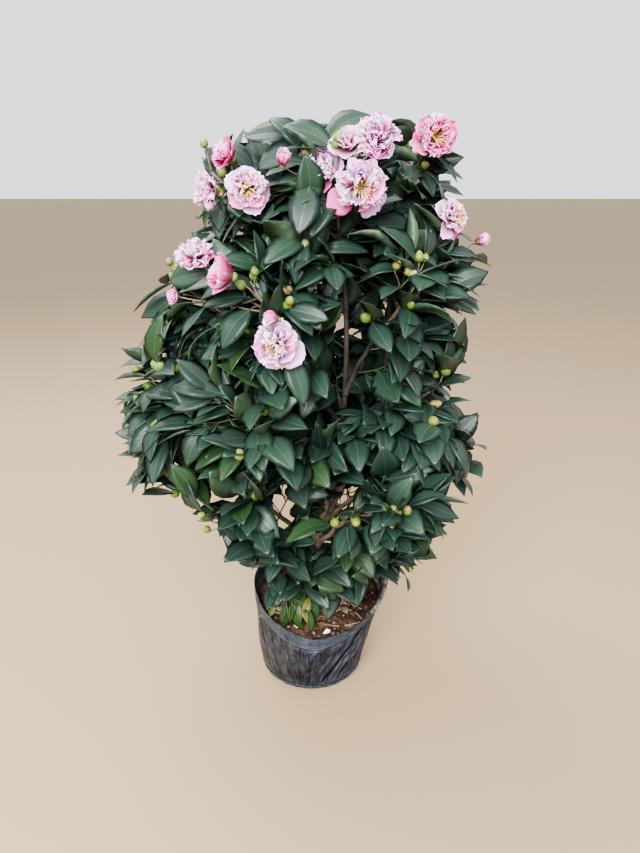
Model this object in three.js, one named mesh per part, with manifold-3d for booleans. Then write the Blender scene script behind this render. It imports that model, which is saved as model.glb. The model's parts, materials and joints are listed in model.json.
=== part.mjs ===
// A camellia shrub in a soft plastic grow bag: a slim trunk that leans and then stands up, a
// second leader beside it, boughs that spread from both, and masses of leaves, buds and double
// flowers. Millimetres, +Z up. The origin is the centre of the bag's underside; -Y is the front.
import * as THREE from 'three';
import { mergeVertices } from 'three/addons/utils/BufferGeometryUtils.js';
import Module from 'manifold-3d';

const wasm = await Module();
wasm.setup();

// Driving dimensions
const GAP = 0.3; // clear space between pieces that touch on the real plant
const POT = {
  footRadius: 98, // flat underside
  footRise: 18, // height of the rounded lower edge
  baseRadius: 113,
  rimRadius: 144,
  height: 218,
  frontDip: 56, // how far the rim sags at the front
  lean: 20, // how far the rim's centre lies to the right of the foot's
  wall: 2.4,
  sides: 24,
};
const SOIL = { height: 171, frontDrop: 14, patch: 38 };
const TRUNK = {
  foot: [-10, 4],
  bottom: 172,
  top: 965,
  sway: [162, 16], // how far the tip stands to the right of the foot, and behind it
  footRadius: 12.6,
  tipRadius: 3.2,
  flare: 10,
  flareHeight: 16,
};
const LEADER = { fork: 300, top: 965, out: 190, back: 145, forward: 60, tipForward: 35 };
const LEADER_RADIUS = [8.2, 3];
const BOUGH = {
  share: 0.55, // radius at the root, as a share of the radius of what it grows from
  leastRadius: 5,
  tipRadius: 3.9,
  lift: 0.13, // how far it bows upwards, as a share of its length
  wander: 0.16, // how far it may bow sideways
  stop: 62, // distance of its tip from the centre of its mass
};
const STEM = { beyond: 42, rise: 18, knee: 0.45, tipRadius: 3.2 };
const SHOOTS = {
  count: 4,
  longest: 138,
  shortest: 45,
  step: 6, // a shoot grows by this much while there is room ahead
  ahead: 8,
  cellRoom: 22, // room that its tip keeps to the edge of the mass's space
  crownRoom: 44, // room that its tip keeps to the crown's outline
  radius: 2.3,
  lift: 0.1,
  first: 0.2, // place of the first shoot on the stem, from 0 to 1
  opening: [78, 32], // angle to the stem in degrees, of the first shoot and the last
  wander: 14,
  upward: 0.16,
  dressed: [0.3, 0.97], // the stretch of a shoot that leaves stand on
};
const LEAF = {
  length: 138,
  width: 82,
  widest: 0.44, // place of the widest point along the blade
  thickness: 3,
  fold: 6, // rise of the blade's edges above its midrib
  droop: 0.13, // drop of the tip, as a share of the length
  layered: 0.75, // how nearly all the blades of a mass lie one over another, from 0 to 1
  sunk: 0.6, // depth of the root past the twig's middle
  spacing: 12,
  spread: [1.15, 0.6], // how far a blade turns away from its shoot, along it and at its tip
  sizes: [0.92, 1.08],
  turns: 14, // directions tried round the twig for each leaf
  small: 0.7, // size of a leaf that finds no room at full size
};
const BUD = { length: 21, width: 14, every: 13 };
const CUT = GAP * 1.1; // how far round an upright the limbs on it are cut away
const CLEAR = 3 * GAP; // how far leaves and twigs keep from the limbs
const MARGIN = 0.5; // half of the space kept between two masses
const WELD = 0.0001; // corners closer than this are one corner
const FINEST = 0.004; // least length of an edge where pieces are joined

// The crown's outline: height, reach to the left, reach to the right
const OUTLINE = [
  [235, 195, 230],
  [330, 238, 270],
  [425, 330, 338],
  [500, 415, 355],
  [650, 400, 325],
  [800, 356, 305],
  [900, 285, 350],
  [950, 264, 290],
  [1090, 207, 265],
  [1156, 170, 255],
];
const DEPTH = 0.46; // depth to one side, as a share of the whole width at that height

// Tiers of foliage, from the skirt over the rim to the top: height, distance from the crown's
// middle as a share of its reach, bearings of the masses, and where their boughs leave
const TIERS = [
  { name: 'skirt', height: 335, ring: 0.58, turns: [235, 325, 55, 145], from: 226, step: 13 },
  { name: 'low', height: 490, ring: 0.62, turns: [238, 305, 180, 125, 70, 5], from: 268, step: 17 },
  { name: 'middle', height: 662, ring: 0.61, turns: [196, 246, 338, 48, 118], from: 430, step: 28 },
  { name: 'upper', height: 845, ring: 0.6, turns: [186, 252, 322, 28, 108], from: 600, step: 32 },
  { name: 'top', height: 1035, ring: 0.56, turns: [15, 285, 195, 105], from: 790, step: 16 },
];
const BASAL = { centre: [-54, -74, 226], from: 200, shoots: 3, leaf: 0.74 };

// Flowers seen from the front: place across, height and diameter
const FLOWERS = [
  [-88, 1028, 72],
  [-153, 1024, 64],
  [-118, 1078, 52],
  [22, 1065, 68],
  [60, 1084, 50],
  [102, 1099, 76],
  [200, 1105, 76],
  [83, 1026, 86],
  [236, 985, 68],
  [-175, 935, 66],
  [-116, 910, 66],
  [-49, 806, 82],
  [290, 941, 34],
];
const BACK_FLOWERS = { count: 6, first: 25, step: 27, heights: [1065, 985, 870], size: 72 };
const FLOWER = {
  inward: 0.3, // depth of its centre inside the crown's surface, as a share of its size
  room: 0.52, // space kept for it round its centre
  clear: 0.42, // nearest that a leaf comes to its centre
  shift: 5, // it moves inwards by this much until its room is free
  shifts: 14,
  upward: 0.45,
  twig: 0.72, // where on the stem its twig leaves
  dressed: [0.45, 0.85],
};

const BARK = { color: 0x8b7a63, roughness: 0.85, metalness: 0 };
const GREENS = [0x2d4a3a, 0x35543f, 0x294436];

const UP = new THREE.Vector3(0, 0, 1);
const GOLDEN = Math.PI * (3 - Math.sqrt(5));

// A repeatable stream of numbers from 0 to 1
function stream(seed) {
  let state = 7919 * (seed + 1);
  const next = () => {
    state = (state * 1664525 + 1013904223) % 4294967296;
    return state / 4294967296;
  };
  next();
  next();
  return next;
}

const vector = (x, y, z) => new THREE.Vector3(x, y, z);
const mix = (a, b, t) => a + (b - a) * t;
const smooth = (t) => {
  const s = Math.min(Math.max(t, 0), 1);
  return s * s * (3 - 2 * s);
};

// Keeps only positions, welds shared corners and drops faces with no area
function closed(geometry) {
  geometry.deleteAttribute('normal');
  geometry.deleteAttribute('uv');
  const welded = mergeVertices(geometry, WELD);
  const index = welded.getIndex().array;
  const kept = [];
  for (let i = 0; i < index.length; i += 3) {
    const [a, b, c] = index.slice(i, i + 3);
    if (a !== b && b !== c && c !== a) kept.push(a, b, c);
  }
  welded.setIndex(kept);
  return welded;
}

function solidOf(geometry) {
  return new wasm.Manifold(new wasm.Mesh({
    numProp: 3,
    vertProperties: new Float32Array(geometry.getAttribute('position').array),
    triVerts: new Uint32Array(geometry.getIndex().array),
  }));
}

// The largest piece of a solid, so that a loose scrap or a sealed hollow is left out
function largest(solid) {
  const pieces = solid.decompose();
  return pieces.reduce((best, piece) => (piece.volume() > best.volume() ? piece : best));
}

function geometryOf(solid) {
  const mesh = solid.getMesh();
  const geometry = new THREE.BufferGeometry();
  const position = new Float32Array(mesh.vertProperties);
  geometry.setAttribute('position', new THREE.BufferAttribute(position, 3));
  geometry.setIndex(new THREE.BufferAttribute(new Uint32Array(mesh.triVerts), 1));
  return closed(geometry);
}

// Moves each corner of a geometry to the place that a function gives
function reshape(geometry, place) {
  const position = geometry.getAttribute('position');
  const corner = new THREE.Vector3();
  for (let i = 0; i < position.count; i += 1) {
    corner.fromBufferAttribute(position, i);
    place(corner);
    position.setXYZ(i, corner.x, corner.y, corner.z);
  }
  return geometry;
}

// Pot: a film bag that widens upwards, leans to the right and sags at the front
function wallRadius(height) {
  const t = (height - POT.footRise) / (POT.height - POT.footRise);
  return POT.baseRadius + (POT.rimRadius - POT.baseRadius) * Math.max(t, 0) ** 0.85;
}
const potLean = (height) => POT.lean * (Math.max(height, 0) / POT.height) ** 1.5;
const creases = (turn) => 1.4 * Math.sin(3 * turn + 0.8) + 0.8 * Math.sin(7 * turn);

// Turns a profile of [radius, height] about the axis, then lets its top edge sag by a share of
// its height towards the front
function bagShape(profile, top, sagTop) {
  const points = profile.map(([radius, height]) => new THREE.Vector2(radius, height));
  const geometry = new THREE.LatheGeometry(points, POT.sides);
  geometry.rotateX(Math.PI / 2);
  return closed(reshape(geometry, (corner) => {
    const radius = Math.hypot(corner.x, corner.y);
    const turn = Math.atan2(corner.y, corner.x);
    if (corner.z < POT.footRise || radius < SOIL.patch + 1) return;
    const share = (sagTop(turn) - POT.footRise) / (top - POT.footRise);
    const height = POT.footRise + (corner.z - POT.footRise) * share;
    const rise = (height - POT.footRise) / (POT.height - POT.footRise);
    const wide = radius + wallRadius(height) - wallRadius(corner.z) + rise * creases(turn);
    corner.set(wide * Math.cos(turn) + potLean(height), wide * Math.sin(turn), height);
  }));
}

const frontShare = (turn, power) => ((1 - Math.sin(turn)) / 2) ** power;
const rimHeight = (turn) => POT.height - POT.frontDip * frontShare(turn, 3.5);
const soilHeight = (turn) => SOIL.height + 8 - (SOIL.frontDrop + 8) * frontShare(turn, 1.5);

function potGeometry() {
  const rows = [0, 0.22, 0.46, 0.72, 1].map((t) => POT.footRise + t * (POT.height - POT.footRise));
  const outer = rows.map((height) => [wallRadius(height), height]);
  const inner = rows.map((height) => [wallRadius(height) - POT.wall, height]).reverse();
  const foot = [POT.footRadius, 0];
  const edge = [(POT.footRadius + POT.baseRadius) / 2 + 4, POT.footRise * 0.35];
  const insideFoot = [POT.footRadius - POT.wall, POT.wall];
  return bagShape([[0, 0], foot, edge, ...outer, ...inner, insideFoot, [0, POT.wall]],
    POT.height, rimHeight);
}

// Soil: fills the bag to just under its rim, with a level patch at the trunk's foot
function soilGeometry() {
  const clear = POT.wall + 2 * GAP;
  const top = SOIL.height + 8;
  const rows = [0, 0.35, 0.7, 1].map((t) => POT.footRise + t * (top - POT.footRise));
  const wall = rows.map((height) => [wallRadius(height) - clear, height]);
  const floor = POT.wall + GAP;
  const geometry = bagShape([[0, floor], [POT.footRadius - clear, floor], ...wall,
    [SOIL.patch, TRUNK.bottom - GAP], [0, TRUNK.bottom - GAP]], top, soilHeight);
  return reshape(geometry, (corner) => {
    const inPatch = corner.z > SOIL.height - 20 && Math.hypot(corner.x, corner.y) < SOIL.patch + 1;
    if (inPatch) corner.add(vector(TRUNK.foot[0], TRUNK.foot[1], 0));
  });
}

// Limbs: a tapering round body along a curve
function limbGeometry(curve, radiusAt, sides, rows) {
  const frames = curve.computeFrenetFrames(rows);
  const geometry = new THREE.CylinderGeometry(1, 1, 1, sides, rows);
  return closed(reshape(geometry, (corner) => {
    const row = Math.round((corner.y + 0.5) * rows);
    const radius = radiusAt(row / rows);
    const across = corner.x * radius;
    const aside = -corner.z * radius;
    corner.copy(curve.getPointAt(row / rows));
    corner.addScaledVector(frames.normals[row], across);
    corner.addScaledVector(frames.binormals[row], aside);
  }));
}

// An upright limb whose middle line is a function of height
class Upright extends THREE.Curve {
  constructor(bottom, top, axisAt) {
    super();
    Object.assign(this, { bottom, top, axisAt });
  }

  getPoint(t) {
    return this.axisAt(this.bottom + t * (this.top - this.bottom));
  }
}

function trunkAxis(height) {
  const lean = smooth((height - 200) / 520);
  const back = smooth((height - 500) / 500);
  return vector(TRUNK.foot[0] + TRUNK.sway[0] * lean, TRUNK.foot[1] + TRUNK.sway[1] * back, height);
}

function trunkRadius(height) {
  const t = (height - TRUNK.bottom) / (TRUNK.top - TRUNK.bottom);
  const flare = TRUNK.flare * Math.exp((TRUNK.bottom - height) / TRUNK.flareHeight);
  return TRUNK.footRadius + (TRUNK.tipRadius - TRUNK.footRadius) * t + flare;
}

function leaderAxis(height) {
  const t = (height - LEADER.fork) / (LEADER.top - LEADER.fork);
  const start = trunkAxis(LEADER.fork);
  const x = start.x + LEADER.out * t - LEADER.back * t * t;
  const y = start.y - LEADER.forward * smooth(t / 0.35) - LEADER.tipForward * t ** 3;
  return vector(x, y, height);
}

function leaderRadius(height) {
  const t = (height - LEADER.fork) / (LEADER.top - LEADER.fork);
  return LEADER_RADIUS[0] + (LEADER_RADIUS[1] - LEADER_RADIUS[0]) * t;
}

const trunkCurve = new Upright(TRUNK.bottom, TRUNK.top, trunkAxis);
const leaderCurve = new Upright(LEADER.fork, LEADER.top, leaderAxis);
const uprights = [
  { name: 'trunk', curve: trunkCurve, axisAt: trunkAxis, radiusAt: trunkRadius, sides: 9, rows: 14 },
  { name: 'left_leader', curve: leaderCurve, axisAt: leaderAxis, radiusAt: leaderRadius, sides: 7,
    rows: 9 },
];

function uprightSolid(upright, extra) {
  const radius = (t) => upright.radiusAt(upright.curve.getPointAt(t).z) + extra;
  return solidOf(limbGeometry(upright.curve, radius, upright.sides, upright.rows));
}

// The crown's space, and each mass's own part of it
function reachAt(height) {
  const last = OUTLINE.length - 1;
  const z = Math.min(Math.max(height, OUTLINE[0][0]), OUTLINE[last][0]);
  const row = OUTLINE.findIndex((entry, i) => i === last || z <= OUTLINE[i + 1][0]);
  const [low, high] = [OUTLINE[row], OUTLINE[Math.min(row + 1, last)]];
  const t = (z - low[0]) / Math.max(high[0] - low[0], 1);
  const left = low[1] + (high[1] - low[1]) * t;
  const right = low[2] + (high[2] - low[2]) * t;
  return { left, right, depth: DEPTH * (left + right) };
}

function inCrown(point, inset) {
  if (point.z > OUTLINE[OUTLINE.length - 1][0] - inset * 0.6) return false;
  const { left, right, depth } = reachAt(point.z);
  const across = (point.x > 0 ? right : left) - inset;
  return (point.x / across) ** 2 + (point.y / (depth - inset)) ** 2 <= 1;
}

function ringPoint(tier, degrees) {
  const turn = THREE.MathUtils.degToRad(degrees);
  const { left, right, depth } = reachAt(tier.height);
  const across = Math.cos(turn) > 0 ? right : left;
  const reach = 1 / Math.hypot(Math.cos(turn) / across, Math.sin(turn) / depth);
  return vector(Math.cos(turn), Math.sin(turn), 0).multiplyScalar(tier.ring * reach)
    .setZ(tier.height);
}

// Every mass with its centre, and the upright and height that its bough leaves from. The first
// two masses of the top tier grow straight from the tips of the trunk and the leader.
const masses = [];
for (const tier of TIERS) {
  tier.turns.forEach((degrees, i) => {
    const centre = ringPoint(tier, degrees);
    const from = tier.from + i * tier.step;
    const choices = from > LEADER.fork + 60 ? uprights : [uprights[0]];
    const away = (upright) => upright.axisAt(from).setZ(0).distanceTo(centre.clone().setZ(0));
    const parent = choices.reduce((best, next) => (away(next) < away(best) ? next : best));
    const onTip = tier.name === 'top' && i < 2 ? uprights[i] : null;
    masses.push({ name: `${tier.name}_${i + 1}`, centre, parent, from, onTip, leaf: 1 });
  });
}
masses.push({
  name: 'basal',
  centre: vector(...BASAL.centre),
  parent: uprights[0],
  from: BASAL.from,
  onTip: null,
  leaf: BASAL.leaf,
});

function inCell(mass, point, inset) {
  return masses.every((other) => {
    if (other === mass) return true;
    const away = other.centre.clone().sub(mass.centre);
    const middle = other.centre.clone().add(mass.centre).multiplyScalar(0.5);
    return point.clone().sub(middle).dot(away.normalize()) <= -inset;
  });
}

// Boughs: each leaves its upright, rises a little and ends where it enters its mass
masses.forEach((mass, i) => {
  const random = stream(i);
  if (mass.onTip) {
    const { curve } = mass.onTip;
    mass.root = curve.getPointAt(1);
    mass.heading = curve.getTangentAt(1);
    mass.rootRadius = mass.onTip.radiusAt(curve.top);
    return;
  }
  const start = mass.parent.axisAt(mass.from);
  const inward = mass.centre.clone().sub(start).normalize();
  const end = mass.centre.clone().addScaledVector(inward, -BOUGH.stop);
  const length = end.distanceTo(start);
  const sideways = (random() - 0.5) * BOUGH.wander * length;
  const aside = inward.clone().cross(UP).normalize().multiplyScalar(sideways);
  const bend = start.clone().lerp(end, 0.5).addScaledVector(UP, BOUGH.lift * length).add(aside);
  mass.base = mass.parent.radiusAt(mass.from) * BOUGH.share;
  mass.base = Math.max(mass.base, BOUGH.leastRadius);
  mass.bough = new THREE.QuadraticBezierCurve3(start, bend, end);
  mass.root = end;
  mass.heading = end.clone().sub(bend).normalize();
  mass.rootRadius = BOUGH.tipRadius;
  if (mass.name === 'basal') {
    mass.bough = null;
    mass.root = start;
    mass.heading = inward;
  }
});

function boughSolid(mass, extra) {
  const radius = (t) => mass.base + (BOUGH.tipRadius - mass.base) * t + extra;
  return solidOf(limbGeometry(mass.bough, radius, 6, 3));
}

const boxed = (solid) => ({ solid, box: solid.boundingBox() });

// Everything that leaves and twigs keep clear of, a little fattened
const obstacles = [
  solidOf(potGeometry()),
  solidOf(soilGeometry()),
  ...uprights.map((upright) => uprightSolid(upright, CLEAR)),
  ...masses.filter((mass) => mass.bough).map((mass) => boughSolid(mass, CLEAR)),
].map(boxed);

function touchesAny(solid, others) {
  const box = solid.boundingBox();
  return others.some((other) => {
    const apart = [0, 1, 2].some((axis) => box.min[axis] > other.box.max[axis]
      || box.max[axis] < other.box.min[axis]);
    return !apart && !solid.intersect(other.solid).isEmpty();
  });
}

// A leaf of eight faces: root, tip, two edges and a thick midrib, folded up and drooping
function leafGeometry(root, along, face, length, width) {
  const upward = face.clone().addScaledVector(along, -face.dot(along)).normalize();
  const aside = upward.clone().cross(along);
  const place = (corner) => {
    const at = corner.x > 0.5 ? length : (corner.x > -0.5 ? LEAF.widest * length : 0);
    const lift = corner.x > 0.5 ? -LEAF.droop * length : 0;
    const edge = corner.y * width / 2;
    const rise = lift + Math.abs(corner.y) * LEAF.fold + corner.z * LEAF.thickness / 2;
    corner.copy(root).addScaledVector(along, at).addScaledVector(aside, edge);
    corner.addScaledVector(upward, rise);
  };
  return closed(reshape(new THREE.OctahedronGeometry(1, 0), place));
}

// A bud: a pointed drop of eight faces
function budGeometry(root, along) {
  const turn = new THREE.Quaternion().setFromUnitVectors(UP, along);
  const geometry = new THREE.OctahedronGeometry(1, 0);
  geometry.scale(BUD.width / 2, BUD.width / 2, BUD.length / 2);
  geometry.translate(0, 0, BUD.length * 0.36);
  geometry.applyQuaternion(turn);
  geometry.translate(root.x, root.y, root.z);
  return closed(geometry);
}

// A double flower: a shallow cup with a scalloped edge and a domed middle
function flowerGeometry(centre, facing, size) {
  const profile = [[0, -0.3], [0.14, -0.26], [0.5, 0], [0.28, 0.2], [0, 0.16]];
  const points = profile.map(([radius, height]) => new THREE.Vector2(radius * size, height * size));
  const geometry = new THREE.LatheGeometry(points, 8);
  geometry.rotateX(Math.PI / 2);
  reshape(geometry, (corner) => {
    const turn = Math.atan2(corner.y, corner.x);
    const scallop = Math.abs(corner.z) < 1 ? 1 - 0.12 * (1 + Math.cos(4 * turn)) / 2 : 1;
    corner.set(corner.x * scallop, corner.y * scallop, corner.z);
  });
  geometry.applyQuaternion(new THREE.Quaternion().setFromUnitVectors(UP, facing));
  geometry.translate(centre.x, centre.y, centre.z);
  return closed(geometry);
}

// Flowers: placed on the crown's surface and given to the mass whose space holds them
function flowerAt(x, z, size, back) {
  const { left, right, depth } = reachAt(z);
  const across = x > 0 ? right : left;
  const share = Math.sqrt(Math.max(1 - (x / across) ** 2, 0.04));
  const y = (back ? 1 : -1) * Math.max(depth * share - size * FLOWER.inward, 0);
  const spot = vector(x, y, z);
  const near = (mass) => mass.centre.distanceTo(spot);
  const mass = masses.reduce((best, next) => (near(next) < near(best) ? next : best));
  const room = size * FLOWER.room + MARGIN;
  for (let i = 0; i < FLOWER.shifts && !inCell(mass, spot, room); i += 1) {
    spot.addScaledVector(mass.centre.clone().sub(spot).normalize(), FLOWER.shift);
  }
  return { spot, size, mass };
}

const flowers = FLOWERS.map(([x, z, size]) => flowerAt(x, z, size, false));
for (let i = 0; i < BACK_FLOWERS.count; i += 1) {
  const turn = THREE.MathUtils.degToRad(BACK_FLOWERS.first + i * BACK_FLOWERS.step);
  const height = BACK_FLOWERS.heights[i % BACK_FLOWERS.heights.length];
  const across = reachAt(height).depth * 0.86 * Math.cos(turn);
  flowers.push(flowerAt(across, height, BACK_FLOWERS.size, true));
}

// Two directions square to a twig's own, the second one on its upper side
function acrossOf(ahead) {
  const side = ahead.clone().cross(UP).normalize();
  return [side, side.clone().cross(ahead).normalize()];
}

// The shoots of one mass: they leave its stem all round, more and more forward
function shootsOf(mass, index) {
  const random = stream(100 + index);
  const end = mass.centre.clone().addScaledVector(UP, STEM.rise);
  end.add(mass.centre.clone().setZ(0).normalize().multiplyScalar(STEM.beyond));
  if (mass.name === 'basal') end.copy(mass.centre);
  const reach = mass.root.distanceTo(end) * STEM.knee;
  const knee = mass.root.clone().addScaledVector(mass.heading, reach);
  const stem = new THREE.QuadraticBezierCurve3(mass.root, knee, end);
  const count = mass.name === 'basal' ? BASAL.shoots : SHOOTS.count;
  const shoots = [];
  for (let k = 0; k < count; k += 1) {
    const share = k / (count - 1);
    const along = mix(SHOOTS.first, 1, share);
    const start = stem.getPoint(along);
    const ahead = stem.getTangent(along);
    const [side, over] = acrossOf(ahead);
    const turn = k * GOLDEN + 2 * Math.PI * random();
    const opening = THREE.MathUtils.degToRad(mix(...SHOOTS.opening, share) + SHOOTS.wander * random());
    const heading = side.multiplyScalar(Math.cos(turn)).addScaledVector(over, Math.sin(turn));
    heading.multiplyScalar(Math.sin(opening)).addScaledVector(ahead, Math.cos(opening));
    heading.addScaledVector(UP, SHOOTS.upward).normalize();
    shoots.push({ start, heading, wanted: SHOOTS.longest * mix(0.8, 1, random()) });
  }
  return { stem, shoots };
}

// A shoot's length: as long as it wants to be, or as far as its mass's space lets it
function freeLength(mass, shoot) {
  let length = SHOOTS.shortest;
  while (length < shoot.wanted) {
    const tip = shoot.start.clone().addScaledVector(shoot.heading, length + SHOOTS.ahead);
    if (!inCell(mass, tip, SHOOTS.cellRoom) || !inCrown(tip, SHOOTS.crownRoom)) break;
    length += SHOOTS.step;
  }
  return length;
}

function pointsOf(geometry) {
  const position = geometry.getAttribute('position');
  return Array.from({ length: position.count }, (_, i) => vector().fromBufferAttribute(position, i));
}

// The shortest edge of a solid
function shortestEdge(solid) {
  const { vertProperties: at, triVerts } = solid.getMesh();
  let least = Infinity;
  for (let i = 0; i < triVerts.length; i += 1) {
    const a = 3 * triVerts[i];
    const b = 3 * triVerts[i % 3 === 2 ? i - 2 : i + 1];
    least = Math.min(least, Math.hypot(at[a] - at[b], at[a + 1] - at[b + 1], at[a + 2] - at[b + 2]));
  }
  return least;
}

// One mass as it grows: what is joined so far, and the leaves and shoots that new ones avoid
class Foliage {
  constructor(mass, index) {
    this.mass = mass;
    this.random = stream(200 + index);
    this.outward = mass.centre.clone().setZ(0).normalize();
    this.flowers = flowers.filter((flower) => flower.mass === mass);
    this.shoots = [];
    this.leaves = [];
    this.joined = null;
  }

  inSpace(geometry) {
    return pointsOf(geometry).every((point) => inCell(this.mass, point, MARGIN));
  }

  clearOfFlowers(geometry) {
    return pointsOf(geometry).every((point) => this.flowers.every((flower) => (
      point.distanceTo(flower.spot) > flower.size * FLOWER.clear)));
  }

  // Joins a piece to the mass, unless the seam would have an edge too fine to keep
  join(solid) {
    const next = this.joined ? this.joined.add(solid) : solid;
    if (shortestEdge(next) < FINEST) return false;
    this.joined = next;
    return true;
  }

  growStem(stem) {
    const { root, heading, rootRadius, name } = this.mass;
    const start = root.clone().addScaledVector(heading, name === 'basal' ? 0 : GAP);
    const curve = new THREE.QuadraticBezierCurve3(start, stem.v1, stem.v2);
    this.join(solidOf(limbGeometry(curve, (t) => mix(rootRadius, STEM.tipRadius, t), 5, 3)));
  }

  // A shoot is skipped where it would leave the mass's space or touch a limb
  growShoot(curve, radius, dressed) {
    const geometry = limbGeometry(curve, () => radius, 3, 1);
    const solid = solidOf(geometry);
    if (!this.inSpace(geometry) || touchesAny(solid, obstacles) || !this.join(solid)) return false;
    this.dress(curve, ...dressed);
    this.shoots.push(boxed(solid));
    return true;
  }

  // Leaves stand along a shoot, each on the side of it that has the most room
  dress(curve, first, last) {
    const spacing = LEAF.spacing * this.mass.leaf;
    const steps = Math.max(Math.floor((curve.getLength() * (last - first)) / spacing), 1);
    for (let i = 0; i <= steps; i += 1) {
      const t = mix(first, last, i / steps);
      const turn = 2 * Math.PI * this.random();
      const scale = this.mass.leaf * mix(...LEAF.sizes, this.random());
      const spread = LEAF.spread[i === steps ? 1 : 0];
      if (!this.growLeaf(curve, t, turn, spread, scale)) {
        this.growLeaf(curve, t, turn, spread, scale * LEAF.small);
      }
    }
  }

  // Tries blades all round the shoot, the one farthest from the other leaves first
  growLeaf(curve, t, turn, spread, scale) {
    const tries = Array.from({ length: LEAF.turns }, (_, i) => (
      this.bladeAt(curve, t, turn + (2 * Math.PI * i) / LEAF.turns, spread, scale)));
    const open = tries.filter(({ blade }) => this.hasRoom(blade));
    open.sort((a, b) => this.distanceFromLeaves(b.centre) - this.distanceFromLeaves(a.centre));
    for (const { blade, centre } of open) {
      const solid = solidOf(blade);
      const blocked = touchesAny(solid, [...obstacles, ...this.leaves, ...this.shoots]);
      if (!blocked && this.join(solid)) {
        this.leaves.push({ ...boxed(solid), centre });
        return true;
      }
    }
    return false;
  }

  bladeAt(curve, t, turn, spread, scale) {
    const ahead = curve.getTangent(t);
    const [side, over] = acrossOf(ahead);
    const out = side.multiplyScalar(Math.cos(turn)).addScaledVector(over, Math.sin(turn));
    const face = this.outward.clone().multiplyScalar(0.8).addScaledVector(UP, 0.6).normalize();
    const along = ahead.clone().addScaledVector(out, spread).addScaledVector(UP, -0.2).normalize();
    along.addScaledVector(face, -LEAF.layered * along.dot(face)).normalize();
    const root = curve.getPoint(t).addScaledVector(along, -LEAF.sunk);
    const blade = leafGeometry(root, along, face, LEAF.length * scale, LEAF.width * scale);
    return { blade, centre: root.addScaledVector(along, LEAF.length * scale * 0.5) };
  }

  hasRoom(blade) {
    const inside = pointsOf(blade).every((point) => inCrown(point, 0));
    return inside && this.inSpace(blade) && this.clearOfFlowers(blade);
  }

  distanceFromLeaves(point) {
    return Math.min(Infinity, ...this.leaves.map((leaf) => leaf.centre.distanceTo(point)));
  }

  growBud(curve) {
    const bud = budGeometry(curve.getPoint(1), curve.getTangent(1));
    if (this.inSpace(bud)) this.join(solidOf(bud));
  }

  growFlower(stem, { spot, size }) {
    const facing = spot.clone().setZ(0).normalize().addScaledVector(UP, FLOWER.upward).normalize();
    const start = stem.getPoint(FLOWER.twig);
    const tip = spot.clone().addScaledVector(facing, -size * 0.2);
    const knee = start.clone().lerp(tip, 0.6);
    const curve = new THREE.QuadraticBezierCurve3(start, knee, tip);
    if (!this.growShoot(curve, SHOOTS.radius, FLOWER.dressed)) return;
    this.join(solidOf(flowerGeometry(spot, facing, size)));
  }
}

// Builds one mass: its stem, shoots, leaves, buds and flowers, joined into one solid
function foliage(mass, index) {
  const { stem, shoots } = shootsOf(mass, index);
  const growth = new Foliage(mass, index);
  growth.growStem(stem);
  growth.flowers.forEach((flower) => growth.growFlower(stem, flower));
  shoots.forEach((shoot, k) => {
    const length = freeLength(mass, shoot);
    const tip = shoot.start.clone().addScaledVector(shoot.heading, length);
    tip.addScaledVector(UP, SHOOTS.lift * length);
    const knee = shoot.start.clone().addScaledVector(shoot.heading, length * 0.5);
    const curve = new THREE.QuadraticBezierCurve3(shoot.start, knee, tip);
    const grew = growth.growShoot(curve, SHOOTS.radius * mass.leaf, SHOOTS.dressed);
    if (grew && (SHOOTS.count * index + k) % BUD.every === 0) growth.growBud(curve);
  });
  if (mass.name !== 'basal') return largest(growth.joined);
  return largest(growth.joined.subtract(uprightSolid(mass.parent, CUT)));
}

const plant = new THREE.Group();

function addNode(name, geometry, finish) {
  const mesh = new THREE.Mesh(geometry, new THREE.MeshStandardMaterial(finish));
  mesh.name = name;
  plant.add(mesh);
}

addNode('pot', potGeometry(), { color: 0x3b3d40, roughness: 0.55, metalness: 0 });
addNode('soil', soilGeometry(), { color: 0x4a3226, roughness: 1, metalness: 0 });
const trunkSolid = uprightSolid(uprights[0], 0);
addNode('trunk', geometryOf(trunkSolid), BARK);
const leaderSolid = uprightSolid(uprights[1], 0).subtract(uprightSolid(uprights[0], CUT));
addNode('left_leader', geometryOf(largest(leaderSolid)), BARK);

masses.forEach((mass, index) => {
  if (mass.bough) {
    const cut = boughSolid(mass, 0).subtract(uprightSolid(mass.parent, CUT));
    addNode(`bough_${mass.name}`, geometryOf(largest(cut)), BARK);
  }
  const green = { color: GREENS[index % GREENS.length], roughness: 0.4, metalness: 0 };
  addNode(`foliage_${mass.name}`, geometryOf(foliage(mass, index)), green);
});

export default plant;
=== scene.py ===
# A camellia shrub in flower, grown in a soft black plastic bag: a slim leaning trunk with a second
# leader, boughs that spread from both, glossy leaves, buds and double pink flowers. In metres, with
# the origin at the centre of the bag's underside, +Z up and the front towards -Y.
import json
import math

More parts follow.
